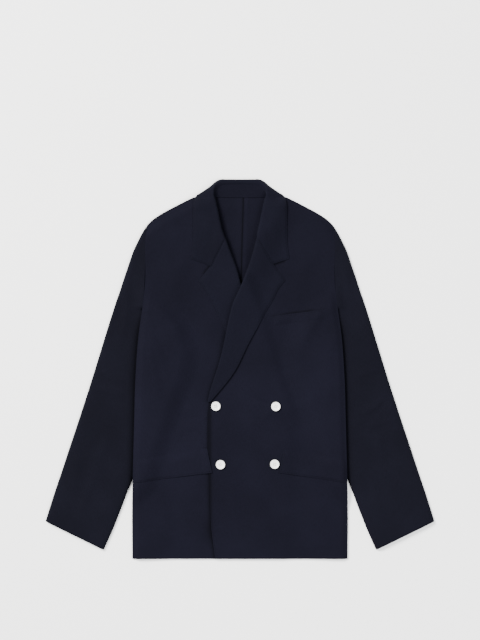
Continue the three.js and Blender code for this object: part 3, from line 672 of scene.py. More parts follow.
def cloth_material(name, colour):
    """Fine twill with slubs, uneven dye, a pressed edge and a row of stitches along it."""
    material, tree = material_tree(name)
    uv = new(tree, "ShaderNodeUVMap", uv_map="cloth").outputs["UV"]
    place = object_place(tree)
    edge, run, shade = (
        new(tree, "ShaderNodeAttribute", attribute_name=label).outputs["Fac"]
        for label in ("edge", "run", "shade")
    )

    def times(a, b):
        return math_node(tree, "MULTIPLY", a, b)

    rib = texture(tree, mapped(tree, uv, Rotation=(0, 0, TWILL_TURN)), "ShaderNodeTexWave", wave_type="BANDS",
                  bands_direction="X", Scale=ONE_A_UNIT / TWILL_PITCH, Distortion=0.6, Detail=2,
                  **{"Detail Scale": 1.5})
    thread = texture(tree, uv, "ShaderNodeTexWave", wave_type="BANDS", bands_direction="Y",
                     Scale=ONE_A_UNIT / THREAD_PITCH, Distortion=0.4)
    weave = math_node(tree, "ADD", times(rib, 0.7), times(thread, 0.3))
    slub = texture(tree, mapped(tree, uv, Scale=(1.0, 0.12, 1.0)), "ShaderNodeTexNoise", Scale=0.9, Detail=3)
    dye = texture(tree, place, "ShaderNodeTexNoise", Scale=9, Detail=4)
    fuzz = texture(tree, place, "ShaderNodeTexNoise", Scale=420, Detail=2)

    from_row = math_node(tree, "ABSOLUTE", math_node(tree, "SUBTRACT", edge, STITCH_ROW))
    row = span(tree, from_row, 0.25, 0.6, 1, 0)
    turns = times(run, 2 * math.pi / STITCH_LENGTH)
    stitch = times(row, span(tree, math_node(tree, "SINE", turns), -0.35, 0.1, 0, 1))
    press = span(tree, edge, 0.0, PRESSED_LINE, 1, 0)

    light = span(tree, dye, 0.3, 0.7, 0.88, 1.12)
    for value, *limits in (
        (slub, 0.3, 0.7, 0.92, 1.08), (weave, 0, 1, 0.86, 1.14), (fuzz, 0.3, 0.7, 0.93, 1.07),
        (stitch, 0, 1, 1, 0.72), (press, 0, 1, 1, 0.94),
    ):
        light = times(light, span(tree, value, *limits))
    light = times(light, shade)

    height = times(weave, 0.10)
    for operation, value, share in (
        ("ADD", slub, 0.12), ("ADD", fuzz, 0.05), ("SUBTRACT", row, 0.10), ("SUBTRACT", stitch, 0.12),
    ):
        height = math_node(tree, operation, height, times(value, share))
    finish_surface(tree, scaled(tree, colour, light), bumped(tree, height, 0.7, 0.001), **CLOTH_FINISH)
    return material


BODY = cloth_material("body twill", (0.0034, 0.0033, 0.0069))
SLEEVE = cloth_material("sleeve twill", (0.0026, 0.0026, 0.0050))
LAPEL = cloth_material("lapel twill", (0.0028, 0.0028, 0.0058))


# Where a button's dark rim starts and is full, in shares of its radius
BUTTON_RIM = (0.875, 0.95)


def button_material():
    """Cloudy white, with a rim that is dark at its edge."""
    material, tree = material_tree("button")
    cloud = texture(tree, object_place(tree), "ShaderNodeTexNoise", Scale=160, Detail=5)
    across_box = new(tree, "ShaderNodeTexCoord").outputs["Generated"]
    for operation, values in (("SUBTRACT", (0.5, 0.5, 0.5)), ("MULTIPLY", (2, 2, 0))):
        step = new(tree, "ShaderNodeVectorMath", operation=operation)
        tree.links.new(across_box, step.inputs[0])
        step.inputs[1].default_value = values
        across_box = step.outputs["Vector"]
    radius = fed(tree, "ShaderNodeVectorMath", 0, across_box, "Value", operation="LENGTH")
    rim = span(tree, radius, *BUTTON_RIM, 1, 0.1)
    white = two_tone(tree, cloud, (0.74, 0.73, 0.71), (0.88, 0.87, 0.85))
    finish_surface(tree, scaled(tree, white, rim), bumped(tree, cloud, 0.15, 0.0004),
                   **{"Roughness": 0.34, "Coat Weight": 0.25})
    return material


def thread_material():
    material, tree = material_tree("thread")
    twist = texture(tree, object_place(tree), "ShaderNodeTexWave", wave_type="BANDS",
                    bands_direction="DIAGONAL", Scale=900)
    finish_surface(tree, two_tone(tree, twist, (0.55, 0.54, 0.53), (0.80, 0.79, 0.77)), Roughness=0.7)
    return material


def floor_material():
    material, tree = material_tree("floor")
    grain = texture(tree, object_place(tree), "ShaderNodeTexNoise", Scale=3)
    finish_surface(tree, two_tone(tree, grain, (0.90, 0.90, 0.90), (0.93, 0.93, 0.93)),
                   **{"Roughness": 0.95, "Specular IOR Level": 0.1})
    return material


BUTTON = button_material()
THREAD = thread_material()


# Body

def contact(distance, width, depth):
    """How much light is left near an edge that lies on the cloth: 1 - depth at the edge, 1 far from it."""
    return 1 - depth * np.exp(-((np.maximum(distance, 0) / width) ** 1.5))


def panel(name, side, inner, height, step, finished, top=(), shade=None):
    """A body panel between its side and an inner edge, in rows from the hem to the neck seam."""
    y = np.concatenate([HEM_Y + edged(NECK_SEAM_Y - HEM_Y, step), top])
    outer = side * half_width(y)
    width = np.abs(outer - inner(y))
    count = int(width.max() / step)
    x = np.array([start - side * edged(reach, step, count) for start, reach in zip(outer, width)])
    yy = np.repeat(y[:, None], x.shape[1], axis=1)
    grid = np.stack([x, yy, height(x, yy)], axis=-1)
    dim = None if shade is None else shade(x, yy)
    build_sheet(f"cloth_{name}", grid, CLOTH, BODY, finished, dim)


ALLOWANCE_WIDTH = 11
ALLOWANCE_HEIGHT = 0.5
NECK_TURN_DROP = 1.5


def inner_back(x, y):
    """The back panels, with the seam allowances pressed open along the middle seam and a turned neck edge."""
    from_seam = np.abs(x - along(BACK_SEAM, y))
    allowance = smooth((ALLOWANCE_WIDTH - from_seam) / 1.6) * smooth((from_seam + 0.4) / 1.4)
    turned = smooth((y - NECK_SEAM_Y - 0.1) / 0.8)
    return back_middle(x, y) + ALLOWANCE_HEIGHT * allowance - NECK_TURN_DROP * turned


def bell(distance, width):
    return np.exp(-((distance / width) ** 2))


def back_shade(x, y):
    """Inside the neck: the middle seam's hollow and ridge, and what the right front's roll shades."""
    from_seam = x - along(BACK_SEAM, y)
    seam = 1 - 0.62 * bell(from_seam + 0.6, 1.9) + 0.12 * bell(from_seam - 5, 3.5)
    from_roll = x - along(UNDER_ROLL, y) - 3
    neck = x + along(COLLAR_ROLL, y) - 3
    left = np.where(y > GORGE_Y, neck, from_roll)
    near_roll = contact(left, 2.6, 0.12 + 0.3 * smooth((y - 215) / 60))
    return np.where(y > 150, 0.86 * seam * near_roll, 1)


def hollow_line(x, y, start, end, reach, depth):
    """A soft dark mark along a line between two places."""
    length = math.hypot(end[0] - start[0], end[1] - start[1])
    dx, dy = (end[0] - start[0]) / length, (end[1] - start[1]) / length
    t = (x - start[0]) * dx + (y - start[1]) * dy
    past = np.maximum(np.maximum(-t, t - length), 0)
    off = np.hypot(past, (y - start[1]) * dx - (x - start[0]) * dy)
    return 1 - depth * bell(off, reach)


def under_shade(x, y):
    """Below the break the upper front's edge lies on it, and above that its lapel's roll."""
    edge = along(OVER_EDGE, y) - x
    roll = along(OVER_ROLL, y) - x
    below = contact(edge, 4.5, 0.34 * smooth((-190 - y) / 60) + 0.18)
    below = below * contact(edge, 12, 0.4 * bell(y + 339, 26))
    above = contact(roll, 9, 0.25)
    notch = hollow_line(x, y, (-64, 215), (-75, 201), 3.2, 0.5)
    return np.where(y < BREAK_Y, below, above) * notch * tone(FRONT_TONE, -1, y)


def over_shade(x, y):
    """The mouth of the breast pocket, the lapel's edge and its notch."""
    (front_x, front_y), (rear_x, rear_y) = WELT[0], WELT[-1]
    mouth = lerp(front_y, rear_y, (x - front_x) / (rear_x - front_x)) - y
    at_welt = (x > 64) & (x < 179) & (mouth < 1)
    strength = 0.55 * (0.35 + 0.65 * smooth((x - 84) / 20)) * (1 - 0.8 * smooth((x - 142) / 20))
    welt = np.where(at_welt, 1 - strength * bell(mouth, 3.2), 1)
    edge = 0.8 * (x - along(OVER_LAPEL_OUTER, y))
    lapel_edge = contact(edge, 2.6, 0.5 * smooth((110 - y) / 110))
    notch = hollow_line(x, y, (73, 219.5), (92, 226), 3.0, 0.55)
    return welt * lapel_edge * notch * tone(FRONT_TONE, 1, y)


STEP = 3.2
NECK_TURNED = NECK_SEAM_Y + np.array([0.5, 1.2, 2.4])
for hand, side, flat in (("right", -1, (230, 760, 165000)), ("left", 1, (225, 760, 160000))):
    panel(f"back_{hand}", side, lambda y: along(BACK_SEAM, y) + side * SEAM_GAP / 2, inner_back, STEP * 1.2,
          "b", NECK_TURNED, back_shade)
panel("front_right", -1, under_inner, under_middle, STEP, "rt",
      shade=under_shade)
panel("front_left", 1, over_inner, over_middle, STEP,
      "rt", shade=over_shade)


# Sleeves

def sleeve_rows(step):
    """Ends of the rows across a sleeve: outer, inner and how far the row follows the armhole."""
    cap = np.linspace(0, 1, int(CAP_LENGTH / step), endpoint=False)
    rest = np.linspace(0, 1, int(SLEEVE_LENGTH / step))
    near_cuff = 1 - NEAR_EDGE[::-1] / SLEEVE_LENGTH
    rest = np.concatenate([rest[rest < near_cuff[0] - 0.002], near_cuff])
    near_head = NEAR_EDGE / CAP_LENGTH
    cap = np.concatenate([near_head, cap[cap > near_head[-1] + 0.01]])
    outer = np.vstack([on_line(smooth_line(CAP_FOLD), cap), on_line(smooth_line(OUTER_FOLD), rest)])
    inner = np.vstack([on_line(smooth_line(CAP_PIVOT), cap), on_line(smooth_line(INNER_FOLD), rest)])
    hug = np.concatenate([(1 - cap) ** 3, np.zeros(len(rest))])
    return outer, inner, hug


def across(outer, inner, hug, distance):
    """Places at a distance from the outer fold, in each row."""
    width = np.linalg.norm(inner - outer, axis=1)[:, None]
    t = distance / width
    x = lerp(outer[:, :1], inner[:, :1], t)
    y = lerp(outer[:, 1:], inner[:, 1:], t)
    clear = np.where(distance < 3, CLOTH / 2, 0)
    held = np.maximum(x - 3, half_width(y)) + 2 * SEAM_GAP + clear
    return lerp(x, held, hug[:, None]), y


def sleeve_relief(x, y, side):
    """Creases, gathers at the armhole, and the dip where the body lies on the sleeve."""
    outward = np.abs(x) - half_width(y)
    shown = np.where(y < ARMPIT[1], smooth((outward - 2) / 16), smooth(outward / 14))
    outside = np.maximum(outward, 0)
    gathers = 0.3 * np.sin(y / 5.2 + 0.8 * np.sin(y / 17)) * np.exp(-outside / 7)
    gathers *= smooth((y - 135) / 20) * smooth((285 - y) / 20)
    dip = 2.4 * bell(outside, 9) * smooth((ARMPIT[1] - 8 - y) / 60)
    relief = creased(SLEEVE_CREASES[side], np.abs(x), y) + 0.4 * swell(x, y, 2.2 + side, 96)
    return np.clip(relief, -1.2, 2.2) * shown + gathers - dip


def sleeve_shade(x, y, side):
    """Darker where the body's side lies on the sleeve, below the armpit."""
    below = ARMPIT[1] + 10 - y
    beside = np.where(below > 0, contact(np.abs(x) - half_width(y), 8, 0.6 * smooth(below / 60)), 1)
    return beside * tone(SLEEVE_TONE, side, y)


# Where a sleeve is narrower than this, the section of its folds is drawn together
FULL_WIDTH = 110
# Widths that set the columns of the flat top and of the under sleeve
TOP_WIDTH = 100
UNDER_WIDTH = 120
# How far a sleeve's head reaches under the front, and the ramps over which it rises to the front's edge
HEAD_REACH = 0.35
UNDER_HEAD_REACH = 1.2
HEAD_RAMP = 12
# The head's edge, turned under the front: [inset, height]
HEAD_TURNED = np.array([(1.6, -2.3), (0.9, -1.9), (0.35, -0.9)])


def sleeve(hand, side):
    """A flattened tube: the top sleeve, turned round both folds, and the under sleeve on the floor."""
    outer, inner, hug = sleeve_rows(STEP)
    width = np.linalg.norm(inner - outer, axis=1)[:, None]
    section = smooth_line([(d, h * SLEEVE_CREST) for d, h in SLEEVE_SECTION], per=4)
    narrow = np.minimum(1, width / FULL_WIDTH)
    fold_d = np.where(section[:, 0] < 3, section[:, 0], section[:, 0] * narrow)
    fold_h = np.clip(section[:, 1] / SLEEVE_CREST, 0, 1)
    inside = max(6, int(TOP_WIDTH / STEP))
    flat = np.linspace(0, 1, inside + 2)[1:-1]
    reach = fold_d[:, -1:]
    distance = np.hstack([fold_d, reach + flat[None] * (width - 2 * reach), width - fold_d[:, ::-1]])
    share = np.concatenate([fold_h, np.ones(inside), fold_h[::-1]])[None]
    x, y = across(outer, inner, hug, distance)
    z = share * sleeve_crest(x, y) + sleeve_relief(side * x, y, side) * share
    # the head meets the front's edge along the armhole
    front = under_middle if side < 0 else over_middle
    met = smooth((y - ARMPIT[1]) / HEAD_RAMP) * smooth(distance / HEAD_RAMP)
    met *= bell(x - half_width(y), SLEEVE_BLEND)
    z = lerp(z, front(side * (half_width(y) - 0.5), y), met)
    # a turned edge under the front
    rows_x = x[0] - 0.55 - HEAD_TURNED[:, :1]
    rows_z = z[0] + HEAD_TURNED[:, 1:]
    x[0] -= HEAD_REACH
    x = np.vstack([rows_x, x])
    y = np.vstack([np.repeat(y[:1], len(HEAD_TURNED), axis=0), y])
    z = np.maximum(np.vstack([rows_z, z]), 0.5)
    grid = np.stack([side * x, y, z], axis=-1)
    build_sheet(f"cloth_topsleeve_{hand}", grid, CLOTH, SLEEVE, "b",
                sleeve_shade(x, y, side))
    shares = np.linspace(0, 1, int(UNDER_WIDTH / STEP))[None]
    distance = lerp(UNDERSLEEVE_INSET, width - UNDERSLEEVE_INNER_INSET, shares)
    x, y = across(outer, inner, hug, distance)
    x[0] -= UNDER_HEAD_REACH
    grid = np.stack([side * x, y, np.full(x.shape, CLOTH / 2)], axis=-1)
    build_sheet(f"cloth_undersleeve_{hand}", grid, CLOTH, SLEEVE, "b")


sleeve("right", -1)
sleeve("left", 1)


# Collar

COLLAR_SIDES = {
    -1: {
        "front": under_middle, "inner": under_inner, "in_seam": 62, "press": [0.3, 0.7, 0.75, 0.75],
        "gorge": (-30, 270.6), "notch": (-62.6, 215.4), "tip": (-102.5, 230),
    },
    1: {
        "front": over_middle, "inner": over_inner, "in_seam": 69.8, "press": [0.1, 0.3, 0.4, 0.6],
        "gorge": (34.7, 270.6), "notch": (70.4, 219.8), "tip": (103.3, 230),
    },
}
# The fall's free edge from the notch to the shoulder: [y of the roll, x, y]
COLLAR_FRONT = [(290, 99.4, 266), (308, 98.9, 291), (328, 98.3, 318), (344, 97.4, 341), (353, 95.6, 353.4)]
COLLAR_BEND = [0.42, 0.12, 0, 0, 0]
COLLAR_PRESS = [0, 0, 0.15, 0.75]
# From the shoulder to the middle of the back: [seam, roll, outside, edge], each [x, y, z]
COLLAR_BACK = [
    [(55, 360, 11), (55.5, 366, 15.6), (90.4, 362.2, 5.6), (91.6, 361.4, 3.8)],
    [(55, 364, 10.2), (55.3, 371, 14.8), (87, 364.6, 5.2), (87.6, 358.8, 1.4)],
    [(54, 367, 9.6), (55, 375, 14.2), (82.5, 367.2, 5.2), (80, 350.5, 0.9)],
    [(49, 376, 7.4), (50.5, 385, 11), (64, 379.8, 4.4), (62, 346.5, 0.9)],
    [(38, 384, 5.6), (40, 391.6, 8), (44, 394.8, 3.6), (41, 345.6, 0.9)],
    [(20, 386, 4.8), (20, 392, 6.6), (20, 395.6, 3.2), (20, 345, 0.9)],
]
COLLAR_LEAST_Z = 0.9
# Points from the roll to the notch's corner and from there to the edge, and how far across the corner lies
STRETCH_POINTS = 3
CORNER = 0.52
# The stand's lower edge, [x, y]. The first of them lie on the fronts and the others on the back.
STAND_ON_FRONT = 5
STAND_FOOT = [
    (44.2, 283), (54.4, 300), (68, 324), (78.4, 342), (84, 352), (84, 359.3), (76, 359), (66, 358.5),
    (50, 358.4), (34, 358.4), (17, 358.4),
]


def front_station(side, k):
    """A line across the fall, from under its roll to its free edge. -1 is its end at the gorge."""
    spec = COLLAR_SIDES[side]
    first = k < 0
    y = spec["gorge"][1] if first else COLLAR_FRONT[k][0]
    roll = spec["gorge"] if first else (side * float(along(COLLAR_ROLL, y)), y)
    edge = spec["tip"] if first else (side * COLLAR_FRONT[k][1], COLLAR_FRONT[k][2])
    bend = 1 if first else COLLAR_BEND[k]
    gorge, tip, notch = (np.array(spec[key], float) for key in ("gorge", "tip", "notch"))
    roll, edge = np.array(roll, float), np.array(edge, float)
    corner = lerp(roll, edge, CORNER) + bend * (notch - lerp(gorge, tip, CORNER))
    radius = float(roll_radius(GORGE_Y))
    core = (roll[0] + side * radius, roll[1])

    def height(px, py):
        return height_at(lapel_middle, px, py, spec["front"], spec["inner"], side)

    top = height(*core)
    row = [
        (core[0] - side * radius * inward, core[1], top - radius * below)
        for inward, below in ((0, 2), (0.95, 1.3), (0.7, 0.3), (0, 0))
    ]
    for a, b in ((core, corner), (corner, edge)):
        for j in range(1, STRETCH_POINTS + 1):
            x, y = (lerp(a[i], b[i], j / STRETCH_POINTS) for i in (0, 1))
            row.append((x, y, height(x, y)))
    row = np.array(row)
    row[-4:, 2] -= spec["press"] if first else COLLAR_PRESS
    return row


def back_station(spec, side):
    """A line across the fall behind the neck, up from its seam, over the roll and down to its edge."""
    seam, roll, out, edge = np.array(spec, float)
    low = np.maximum(edge, [-np.inf, -np.inf, COLLAR_LEAST_Z])
    up = np.array([0, 0, 1.0])
    row = [
        seam,
        lerp(seam, roll, 0.4) + 0.3 * up,
        lerp(seam, roll, 0.75) + 0.2 * up,
        roll,
        lerp(roll, out, 0.5) + 0.7 * up,
        lerp(roll, out, 0.85) + 0.5 * up,
        out,
        lerp(out, low, np.array([0.1, 0.05, 0.75])),
        lerp(out, low, np.array([0.4, 0.4, 1])),
        edge,
    ]
    return np.array(row) * [side, 1, 1]


FRONT_STATIONS = range(-1, len(COLLAR_FRONT))
stations = np.array(
    [front_station(-1, k) for k in FRONT_STATIONS]
    + [back_station(spec, -1) for spec in COLLAR_BACK]
    + [back_station(spec, 1) for spec in reversed(COLLAR_BACK)]
    + [front_station(1, k) for k in reversed(FRONT_STATIONS)]
)


def finer(grid, rows_to, cols_to):
    """A grid on smooth curves through a coarse one, both ways, at even spacing with close edges."""
    lines = np.stack([smooth_line(grid[:, j]) for j in range(grid.shape[1])], axis=1)
    run = np.linalg.norm(np.diff(lines, axis=0), axis=2).mean(axis=1)
    run = np.concatenate([[0], np.cumsum(run)])
    at = edged(run[-1], run[-1] / rows_to)
    rows = np.stack([on_line_at(at, run, lines[:, j]) for j in range(lines.shape[1])], axis=1)
    out = []
    for row in rows:
        line = smooth_line(row)
        length = float(np.linalg.norm(np.diff(line, axis=0), axis=1).sum())
        shares = edged(length, length / cols_to) / length
        out.append(on_line(line, shares))
    return np.array(out)


FINE_STEP = STEP * 0.8
fall = finer(stations, int(FALL_LENGTH / FINE_STEP), int(FALL_DEPTH / FINE_STEP))


# Lapels

LAPEL_STEP = STEP * 0.7
GORGE_GAP = 0.35
NOTCH_DEPTH = 1.2
# How far down the lapel its top row's form reaches, and other shares of its length
TOP_SHARE = 0.14
SHORT_OF_BREAK = 0.995
NEARBY = 0.01
# How far the edge is pressed down, and how wide
PRESSED_BY = 0.75
PRESSED_WIDTH = 7


def gorge_line(side):
    """The collar's end from its roll to its tip."""
    row = fall[0] if side < 0 else fall[-1]
    start = int(np.argmin(side * row[:, 0]))
    row = row[start:]
    return row[np.argsort(side * row[:, 0])][:, :2]


def lapel(hand, side, roll, edge, pressed):
    """A lapel from its roll line to its free edge, from the gorge down to the break. pressed is how much
    of its length lies close on the front."""
    spec = COLLAR_SIDES[side]
    front, inner = spec["front"], spec["inner"]
    roll_line = smooth_line([(x, y) for y, x in reversed(roll)])
    edge_line = smooth_line(edge)
    share = edged(LAPEL_LENGTH, LAPEL_STEP) / LAPEL_LENGTH
    r = on_line(roll_line, share * SHORT_OF_BREAK)
    e = on_line(edge_line, share)
    b = on_line(roll_line, np.clip(share - NEARBY, 0, 1))
    c = on_line(roll_line, np.clip(share + NEARBY, 0, 1))
    out = np.stack([side * (b[:, 1] - c[:, 1]), side * (c[:, 0] - b[:, 0])], axis=1)
    out /= np.linalg.norm(out, axis=1, keepdims=True)
    radius = roll_radius(r[:, 1])
    core = r + out * radius[:, None]
    high_z = lapel_middle(core[:, 0], core[:, 1], front, inner, side)
    angles = np.linspace(math.pi, 0, 11)[:-1]
    reach = radius[:, None] * np.sin(angles)
    s = edged(LAPEL_WIDTH, LAPEL_STEP)[len(NEAR_EDGE) - 1:]
    s = (s - s[0]) / (s[-1] - s[0])
    # the top row follows the collar to the notch, and runs straight from there to the tip
    notch_x = spec["notch"][0]
    at_notch = (notch_x - core[0, 0]) / (e[0, 0] - core[0, 0])
    gorge = gorge_line(side)
    gorge_run = side * gorge[:, 0]

    def below_collar(px):
        before, here, after = (np.interp(side * px + d, gorge_run, gorge[:, 1]) for d in (-2, 0, 2))
        return here - GORGE_GAP * np.hypot(1, (after - before) / 4)

    straight = lerp(core[0, 1], e[0, 1], s)
    notch_y = below_collar(notch_x - side) - NOTCH_DEPTH
    top = np.where(
        s < at_notch,
        below_collar(lerp(core[0, 0], e[0, 0], s)),
        lerp(notch_y, e[0, 1], (s - at_notch) / (1 - at_notch)),
    )
    drop = straight - top
    fade = np.clip(1 - share[:, None] / TOP_SHARE, 0, None)
    turn = np.stack([
        core[:, :1] - out[:, :1] * reach,
        core[:, 1:] - out[:, 1:] * reach - drop[0] * fade,
        high_z[:, None] - radius[:, None] * (1 - np.cos(angles)),
    ], axis=-1)
    x = lerp(core[:, :1], e[:, :1], s)
    y = lerp(core[:, 1:], e[:, 1:], s) - drop * fade
    z = lapel_middle(x, y, front, inner, side)
    to_edge = np.linalg.norm(e - core, axis=1)[:, None] * (1 - s)
    close = smooth((pressed - share[:, None]) / 0.2)
    free = smooth((s - at_notch) / 0.2)
    to_top = share[:, None] * LAPEL_LENGTH
    z -= PRESSED_BY * np.maximum(bell(to_edge, PRESSED_WIDTH) * close, bell(to_top, PRESSED_WIDTH) * free)
    grid = np.concatenate([turn, np.stack([x, y, z], axis=-1)], axis=1)
    seam = np.zeros(grid.shape[:2], bool)
    seam[:, :turn.shape[1]] = True
    seam[:4, turn.shape[1]:] = s < at_notch
    lightness = np.full(grid.shape[:2], 1.07)
    thin = np.broadcast_to(lerp(0.15, 0.6, close), grid.shape[:2])
    build_sheet(f"cloth_lapel_{hand}", grid, FOLDED_CLOTH, LAPEL,
                "rt", lightness, thin, seam)


lapel("right", -1, UNDER_ROLL, UNDER_LAPEL_EDGE, 1.2)
lapel("left", 1, OVER_ROLL, OVER_LAPEL_EDGE, 0.45)


fall_x, fall_y = fall[..., 0], fall[..., 1]
left_half = fall_x < 0
in_seam = np.abs(fall_x) < np.where(left_half, COLLAR_SIDES[-1]["in_seam"], COLLAR_SIDES[1]["in_seam"])
thin_side = np.where(left_half, 0.6, 0.55) * smooth((380 - fall_y) / 30)
build_sheet("cloth_collar_fall", fall, FOLDED_CLOTH, LAPEL,
            "rtb",
            lerp(0.95, 1.08, smooth(fall_x / 60 + 0.5)), thin_side, in_seam & (fall_y < 300))


def stand_station(index, side):
    """A line up the stand, from its lower edge to just below the fall."""
    station = stations[index + 1] if side < 0 else stations[len(stations) - 2 - index]
    w, y = STAND_FOOT[index]
    x = side * w
    ground = COLLAR_SIDES[side]["front"] if index < STAND_ON_FRONT else back_middle
    foot = np.array([x, y, height_at(ground, x, y)])
    head = station[0]
    reach = np.linalg.norm(head - foot)
    stop = lerp(head, foot, 0.2 / reach)
    return np.array([lerp(foot, stop, t) for t in (0, 0.35, 0.7, 1)])


feet = range(len(STAND_FOOT))
stand = np.array([stand_station(i, -1) for i in feet] + [stand_station(i, 1) for i in reversed(feet)])
stand = finer(stand, int(STAND_LENGTH / STEP), int(STAND_DEPTH / STEP))
build_sheet("cloth_collar_stand", stand, CLOTH, BODY,
            "", np.full(stand.shape[:2], 0.8))


# Flaps and welt

def laid(name, corners, height, lift, finished, sewn, seam_reach, thin):
    """A patch between its corners front upper, front lower, rear lower and rear upper. Its sewn edge,
    top or bottom, lies in the panel's cloth."""
    a, b, c, d = corners
    v = (edged(PATCH_DEPTH, FINE_STEP) / PATCH_DEPTH)[:, None]
    u = (edged(PATCH_WIDTH, FINE_STEP) / PATCH_WIDTH)[None]
    front_x = lerp(a[0], b[0], v)
    x = lerp(lerp(d[0], c[0], v), front_x, u)
    upper = lerp(a[1], d[1], (x - a[0]) / (d[0] - a[0]))
    lower = lerp(b[1], c[1], (x - b[0]) / (c[0] - b[0]))
    y = lerp(upper, lower, v)
    from_seam = (upper - y) if sewn == "top" else (y - lower)
    sunk = bell(from_seam, seam_reach)
    if "l" not in finished:
        from_end = np.minimum(np.abs(x - front_x), np.abs(x - d[0]))
        sunk = np.maximum(sunk, bell(from_end, 10))
    sunk = (lift + 0.25) * sunk
    grid = np.stack([x, y, height(x, y) + lift - sunk], axis=-1)
    shade = tone(FRONT_TONE, math.copysign(1, a[0]), y)
    build_sheet(name, grid, CLOTH, BODY, finished, shade, thin(x))


def right_flap_height(x, y):
    return under_middle(x, y) + (CLOTH + 0.65) * ramp(x - over_inner(y), 16)


laid("cloth_flap_right", FLAP_RIGHT, right_flap_height, CLOTH + 0.4,
     "lrb", "top", 11,
     lambda x: 0.15 + 0.6 * smooth((-x - 120) / 40))
laid("cloth_flap_left", FLAP_LEFT, over_middle, CLOTH + 0.4, "lrb",
     "top", 11, lambda x: 0.5 + 0.3 * smooth((x - 130) / 40) - 0.25 * bell(x - 120, 25))
laid("cloth_breast_welt", WELT, over_middle, CLOTH + 0.3, "t",
     "bottom", 8, lambda x: np.full(x.shape, 0.5))


# Buttons

# [radius, z]
BUTTON_SECTION = [
    (0, 0), (7.2, 0), (9.2, 0.6), (9.85, 1.2), (10, 1.7), (9.95, 2.3), (9.7, 2.8), (9.3, 3.12), (8.9, 3.2),
    (8.4, 3.15), (7.9, 2.95), (7.4, 2.6), (6.8, 2.35), (5.5, 2.2), (0, 2.1),
]
BUTTON_TURNS = [14, -22, 31, -8]
HOLE_PLACE = 1.75
HOLE_RADIUS = 0.95
THREAD_RADIUS = 0.3
THREAD_APART = 0.28
BUTTON_GAP = 0.3
SEAT_REACH = 7.0


def ring_faces(low_ring, high_ring, count):
    """Faces between two rings of points, given by the number of the first point of each."""
    pairs = [(k, (k + 1) % count) for k in range(count)]
    return [(low_ring + k, low_ring + after, high_ring + after, high_ring + k) for k, after in pairs]


def lathe(name, section, count, material):
    """A turned body about z, from an axis point through rings to an axis point."""
    angles = np.linspace(0, 2 * math.pi, count, endpoint=False)
    rings = section[1:-1]
    points = [(0, 0, section[0][1])]
    for radius, z in rings:
        points += [(radius * math.cos(t), radius * math.sin(t), z) for t in angles]
    points.append((0, 0, section[-1][1]))
    last = len(points) - 1
    top = last - count
    faces = [(0, 1 + (k + 1) % count, 1 + k) for k in range(count)]
    for i in range(len(rings) - 1):
        faces += ring_faces(1 + i * count, 1 + (i + 1) * count, count)
    faces += [(top + k, top + (k + 1) % count, last) for k in range(count)]
    return add_mesh(name, [(x * MM, y * MM, z * MM) for x, y, z in points], faces, material, soft=True)


def cylinder(name, radius, start, end, count, material):
    """A round bar between two points."""
    a, b = np.array(start, float), np.array(end, float)
    axis = (b - a) / np.linalg.norm(b - a)
    side = np.cross(axis, [0.3, 0.5, 0.8])
    side /= np.linalg.norm(side)
    other = np.cross(axis, side)
    angles = [2 * math.pi * k / count for k in range(count)]
    around = [radius * (math.cos(t) * side + math.sin(t) * other) for t in angles]
    points = [tuple((middle + away) * MM) for middle in (a, b) for away in around]
    ends = [tuple(reversed(range(count))), tuple(range(count, 2 * count))]
    return add_mesh(name, points, ring_faces(0, count, count) + ends, material)


def seat_of(x, y):
    """Where a button sits on the front, and the way that its face looks."""
    slopes = [
        (height_at(over_middle, x + dx, y + dy) - height_at(over_middle, x - dx, y - dy)) / (2 * SEAT_REACH)
        for dx, dy in ((SEAT_REACH, 0), (0, SEAT_REACH))
    ]
    normal = np.array([-slopes[0], -slopes[1], 1.0])
    z = height_at(over_middle, x, y) + CLOTH / 2 + BUTTON_GAP
    return np.array([x, y, z]), normal / np.linalg.norm(normal)


def holed(disc):
    """Cut the four holes of a button."""
    drills = []
    for x, y in ((-1, -1), (1, -1), (1, 1), (-1, 1)):
        x, y = x * HOLE_PLACE, y * HOLE_PLACE
        drills.append(cylinder("drill", HOLE_RADIUS, (x, y, -3), (x, y, 6), 20, BUTTON))
        hole = disc.modifiers.new("hole", "BOOLEAN")
        hole.operation = "DIFFERENCE"
        hole.solver = "EXACT"
        hole.object = drills[-1]
    bpy.context.view_layer.update()
    cut_mesh = bpy.data.meshes.new_from_object(disc.evaluated_get(bpy.context.evaluated_depsgraph_get()))
    disc.modifiers.clear()
    disc.data = cut_mesh
    for drill in drills:
        bpy.data.objects.remove(drill)


def stitches(name):
    """Thread across the face and down through the holes, two rounds for each pair of holes."""
    bars = []
    for y in (sy * HOLE_PLACE + shift for sy in (-1, 1) for shift in (-THREAD_APART, THREAD_APART)):
        bars.append(((-HOLE_PLACE - 0.2, y, 2.35), (HOLE_PLACE + 0.2, y, 2.4)))
        bars += [((x, y, -0.2), (x, y, 2.5)) for x in (-HOLE_PLACE - 0.15, HOLE_PLACE + 0.15)]
    return [cylinder(f"thread_{name}", THREAD_RADIUS, start, end, 8, THREAD) for start, end in bars]


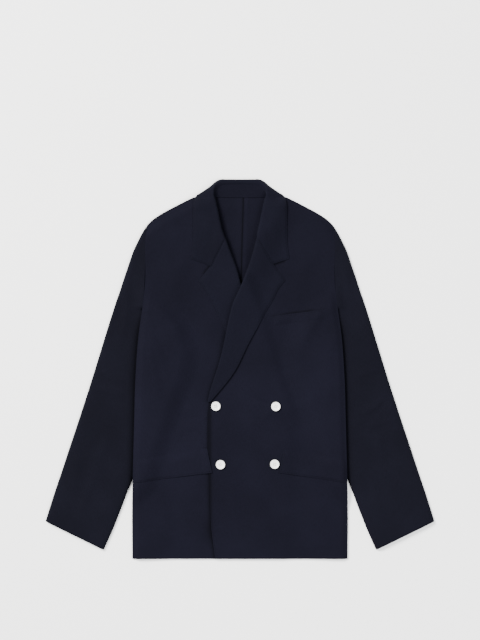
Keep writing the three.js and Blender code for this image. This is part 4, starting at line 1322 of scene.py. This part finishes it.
for index, (bx, by) in enumerate(BUTTONS):
    name = f"button_{index + 1}"
    disc = lathe(f"shell_{name}", BUTTON_SECTION, 64, BUTTON)
    holed(disc)
    threads = stitches(name)
    seat, normal = seat_of(bx, by)
    tilt = Vector((0, 0, 1)).rotation_difference(Vector(normal)).to_matrix().to_4x4()
    spin = Matrix.Rotation(math.radians(BUTTON_TURNS[index]), 4, "Z")
    for made in [disc, *threads]:
        made.data.transform(Matrix.Translation(Vector(seat * MM)) @ tilt @ spin)
    bpy.ops.object.select_all(action="DESELECT")
    for made in threads:
        made.select_set(True)
    bpy.context.view_layer.objects.active = threads[0]
    bpy.ops.object.join()
    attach(disc, "root")
    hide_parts(name)
    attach(threads[0], "root")


# Floor, light and camera

FLOOR_HALF = 4
floor_corners = [(x * FLOOR_HALF, y * FLOOR_HALF, 0) for x, y in ((-1, -1), (1, -1), (1, 1), (-1, 1))]
floor = add_mesh("floor", floor_corners, [(0, 1, 2, 3)], floor_material())
floor.location.z = -0.0004


def area_light(name, place, target, size, power, colour=(1, 1, 1)):
    data = bpy.data.lights.new(name, "AREA")
    data.shape = "SQUARE"
    data.size = size
    data.energy = power
    data.color = colour
    light = bpy.data.objects.new(name, data)
    light.location = place
    light.rotation_euler = (Vector(target) - Vector(place)).to_track_quat("-Z", "Y").to_euler()
    bpy.context.scene.collection.objects.link(light)


area_light("key", (-3.0, 2.6, 3.6), (0, -0.1, 0), 2.0, 950, (1, 0.99, 0.97))
area_light("fill", (1.8, -1.7, 2.8), (0, -0.1, 0), 2.0, 150, (0.96, 0.98, 1))
world = bpy.data.worlds.new("studio")
world.use_nodes = True
background = world.node_tree.nodes["Background"]
background.inputs["Color"].default_value = (1, 1, 1, 1)
background.inputs["Strength"].default_value = 1.3
bpy.context.scene.world = world

# The photograph's frame, seen from straight above. Its scale is 0.6 % closer than the part's 2.1 mm a
# pixel, where the outlines meet best.
MM_PER_PIXEL = 2.1 / 1.006
FRAME_PIXELS = (480, 640)
FRAME_CENTRE = (0.05, 102.4)
LENS = 85.0
SENSOR = 36.0
GARMENT_LEVEL = 8.0
camera_data = bpy.data.cameras.new("camera")
camera_data.lens = LENS
camera_data.sensor_width = SENSOR
camera_data.sensor_fit = "AUTO"
camera_distance = FRAME_PIXELS[1] * MM_PER_PIXEL * LENS / SENSOR
camera = bpy.data.objects.new("camera", camera_data)
camera.location = (FRAME_CENTRE[0] * MM, FRAME_CENTRE[1] * MM, (camera_distance + GARMENT_LEVEL) * MM)
camera.rotation_euler = (0, 0, 0)
bpy.context.scene.collection.objects.link(camera)
bpy.context.scene.camera = camera
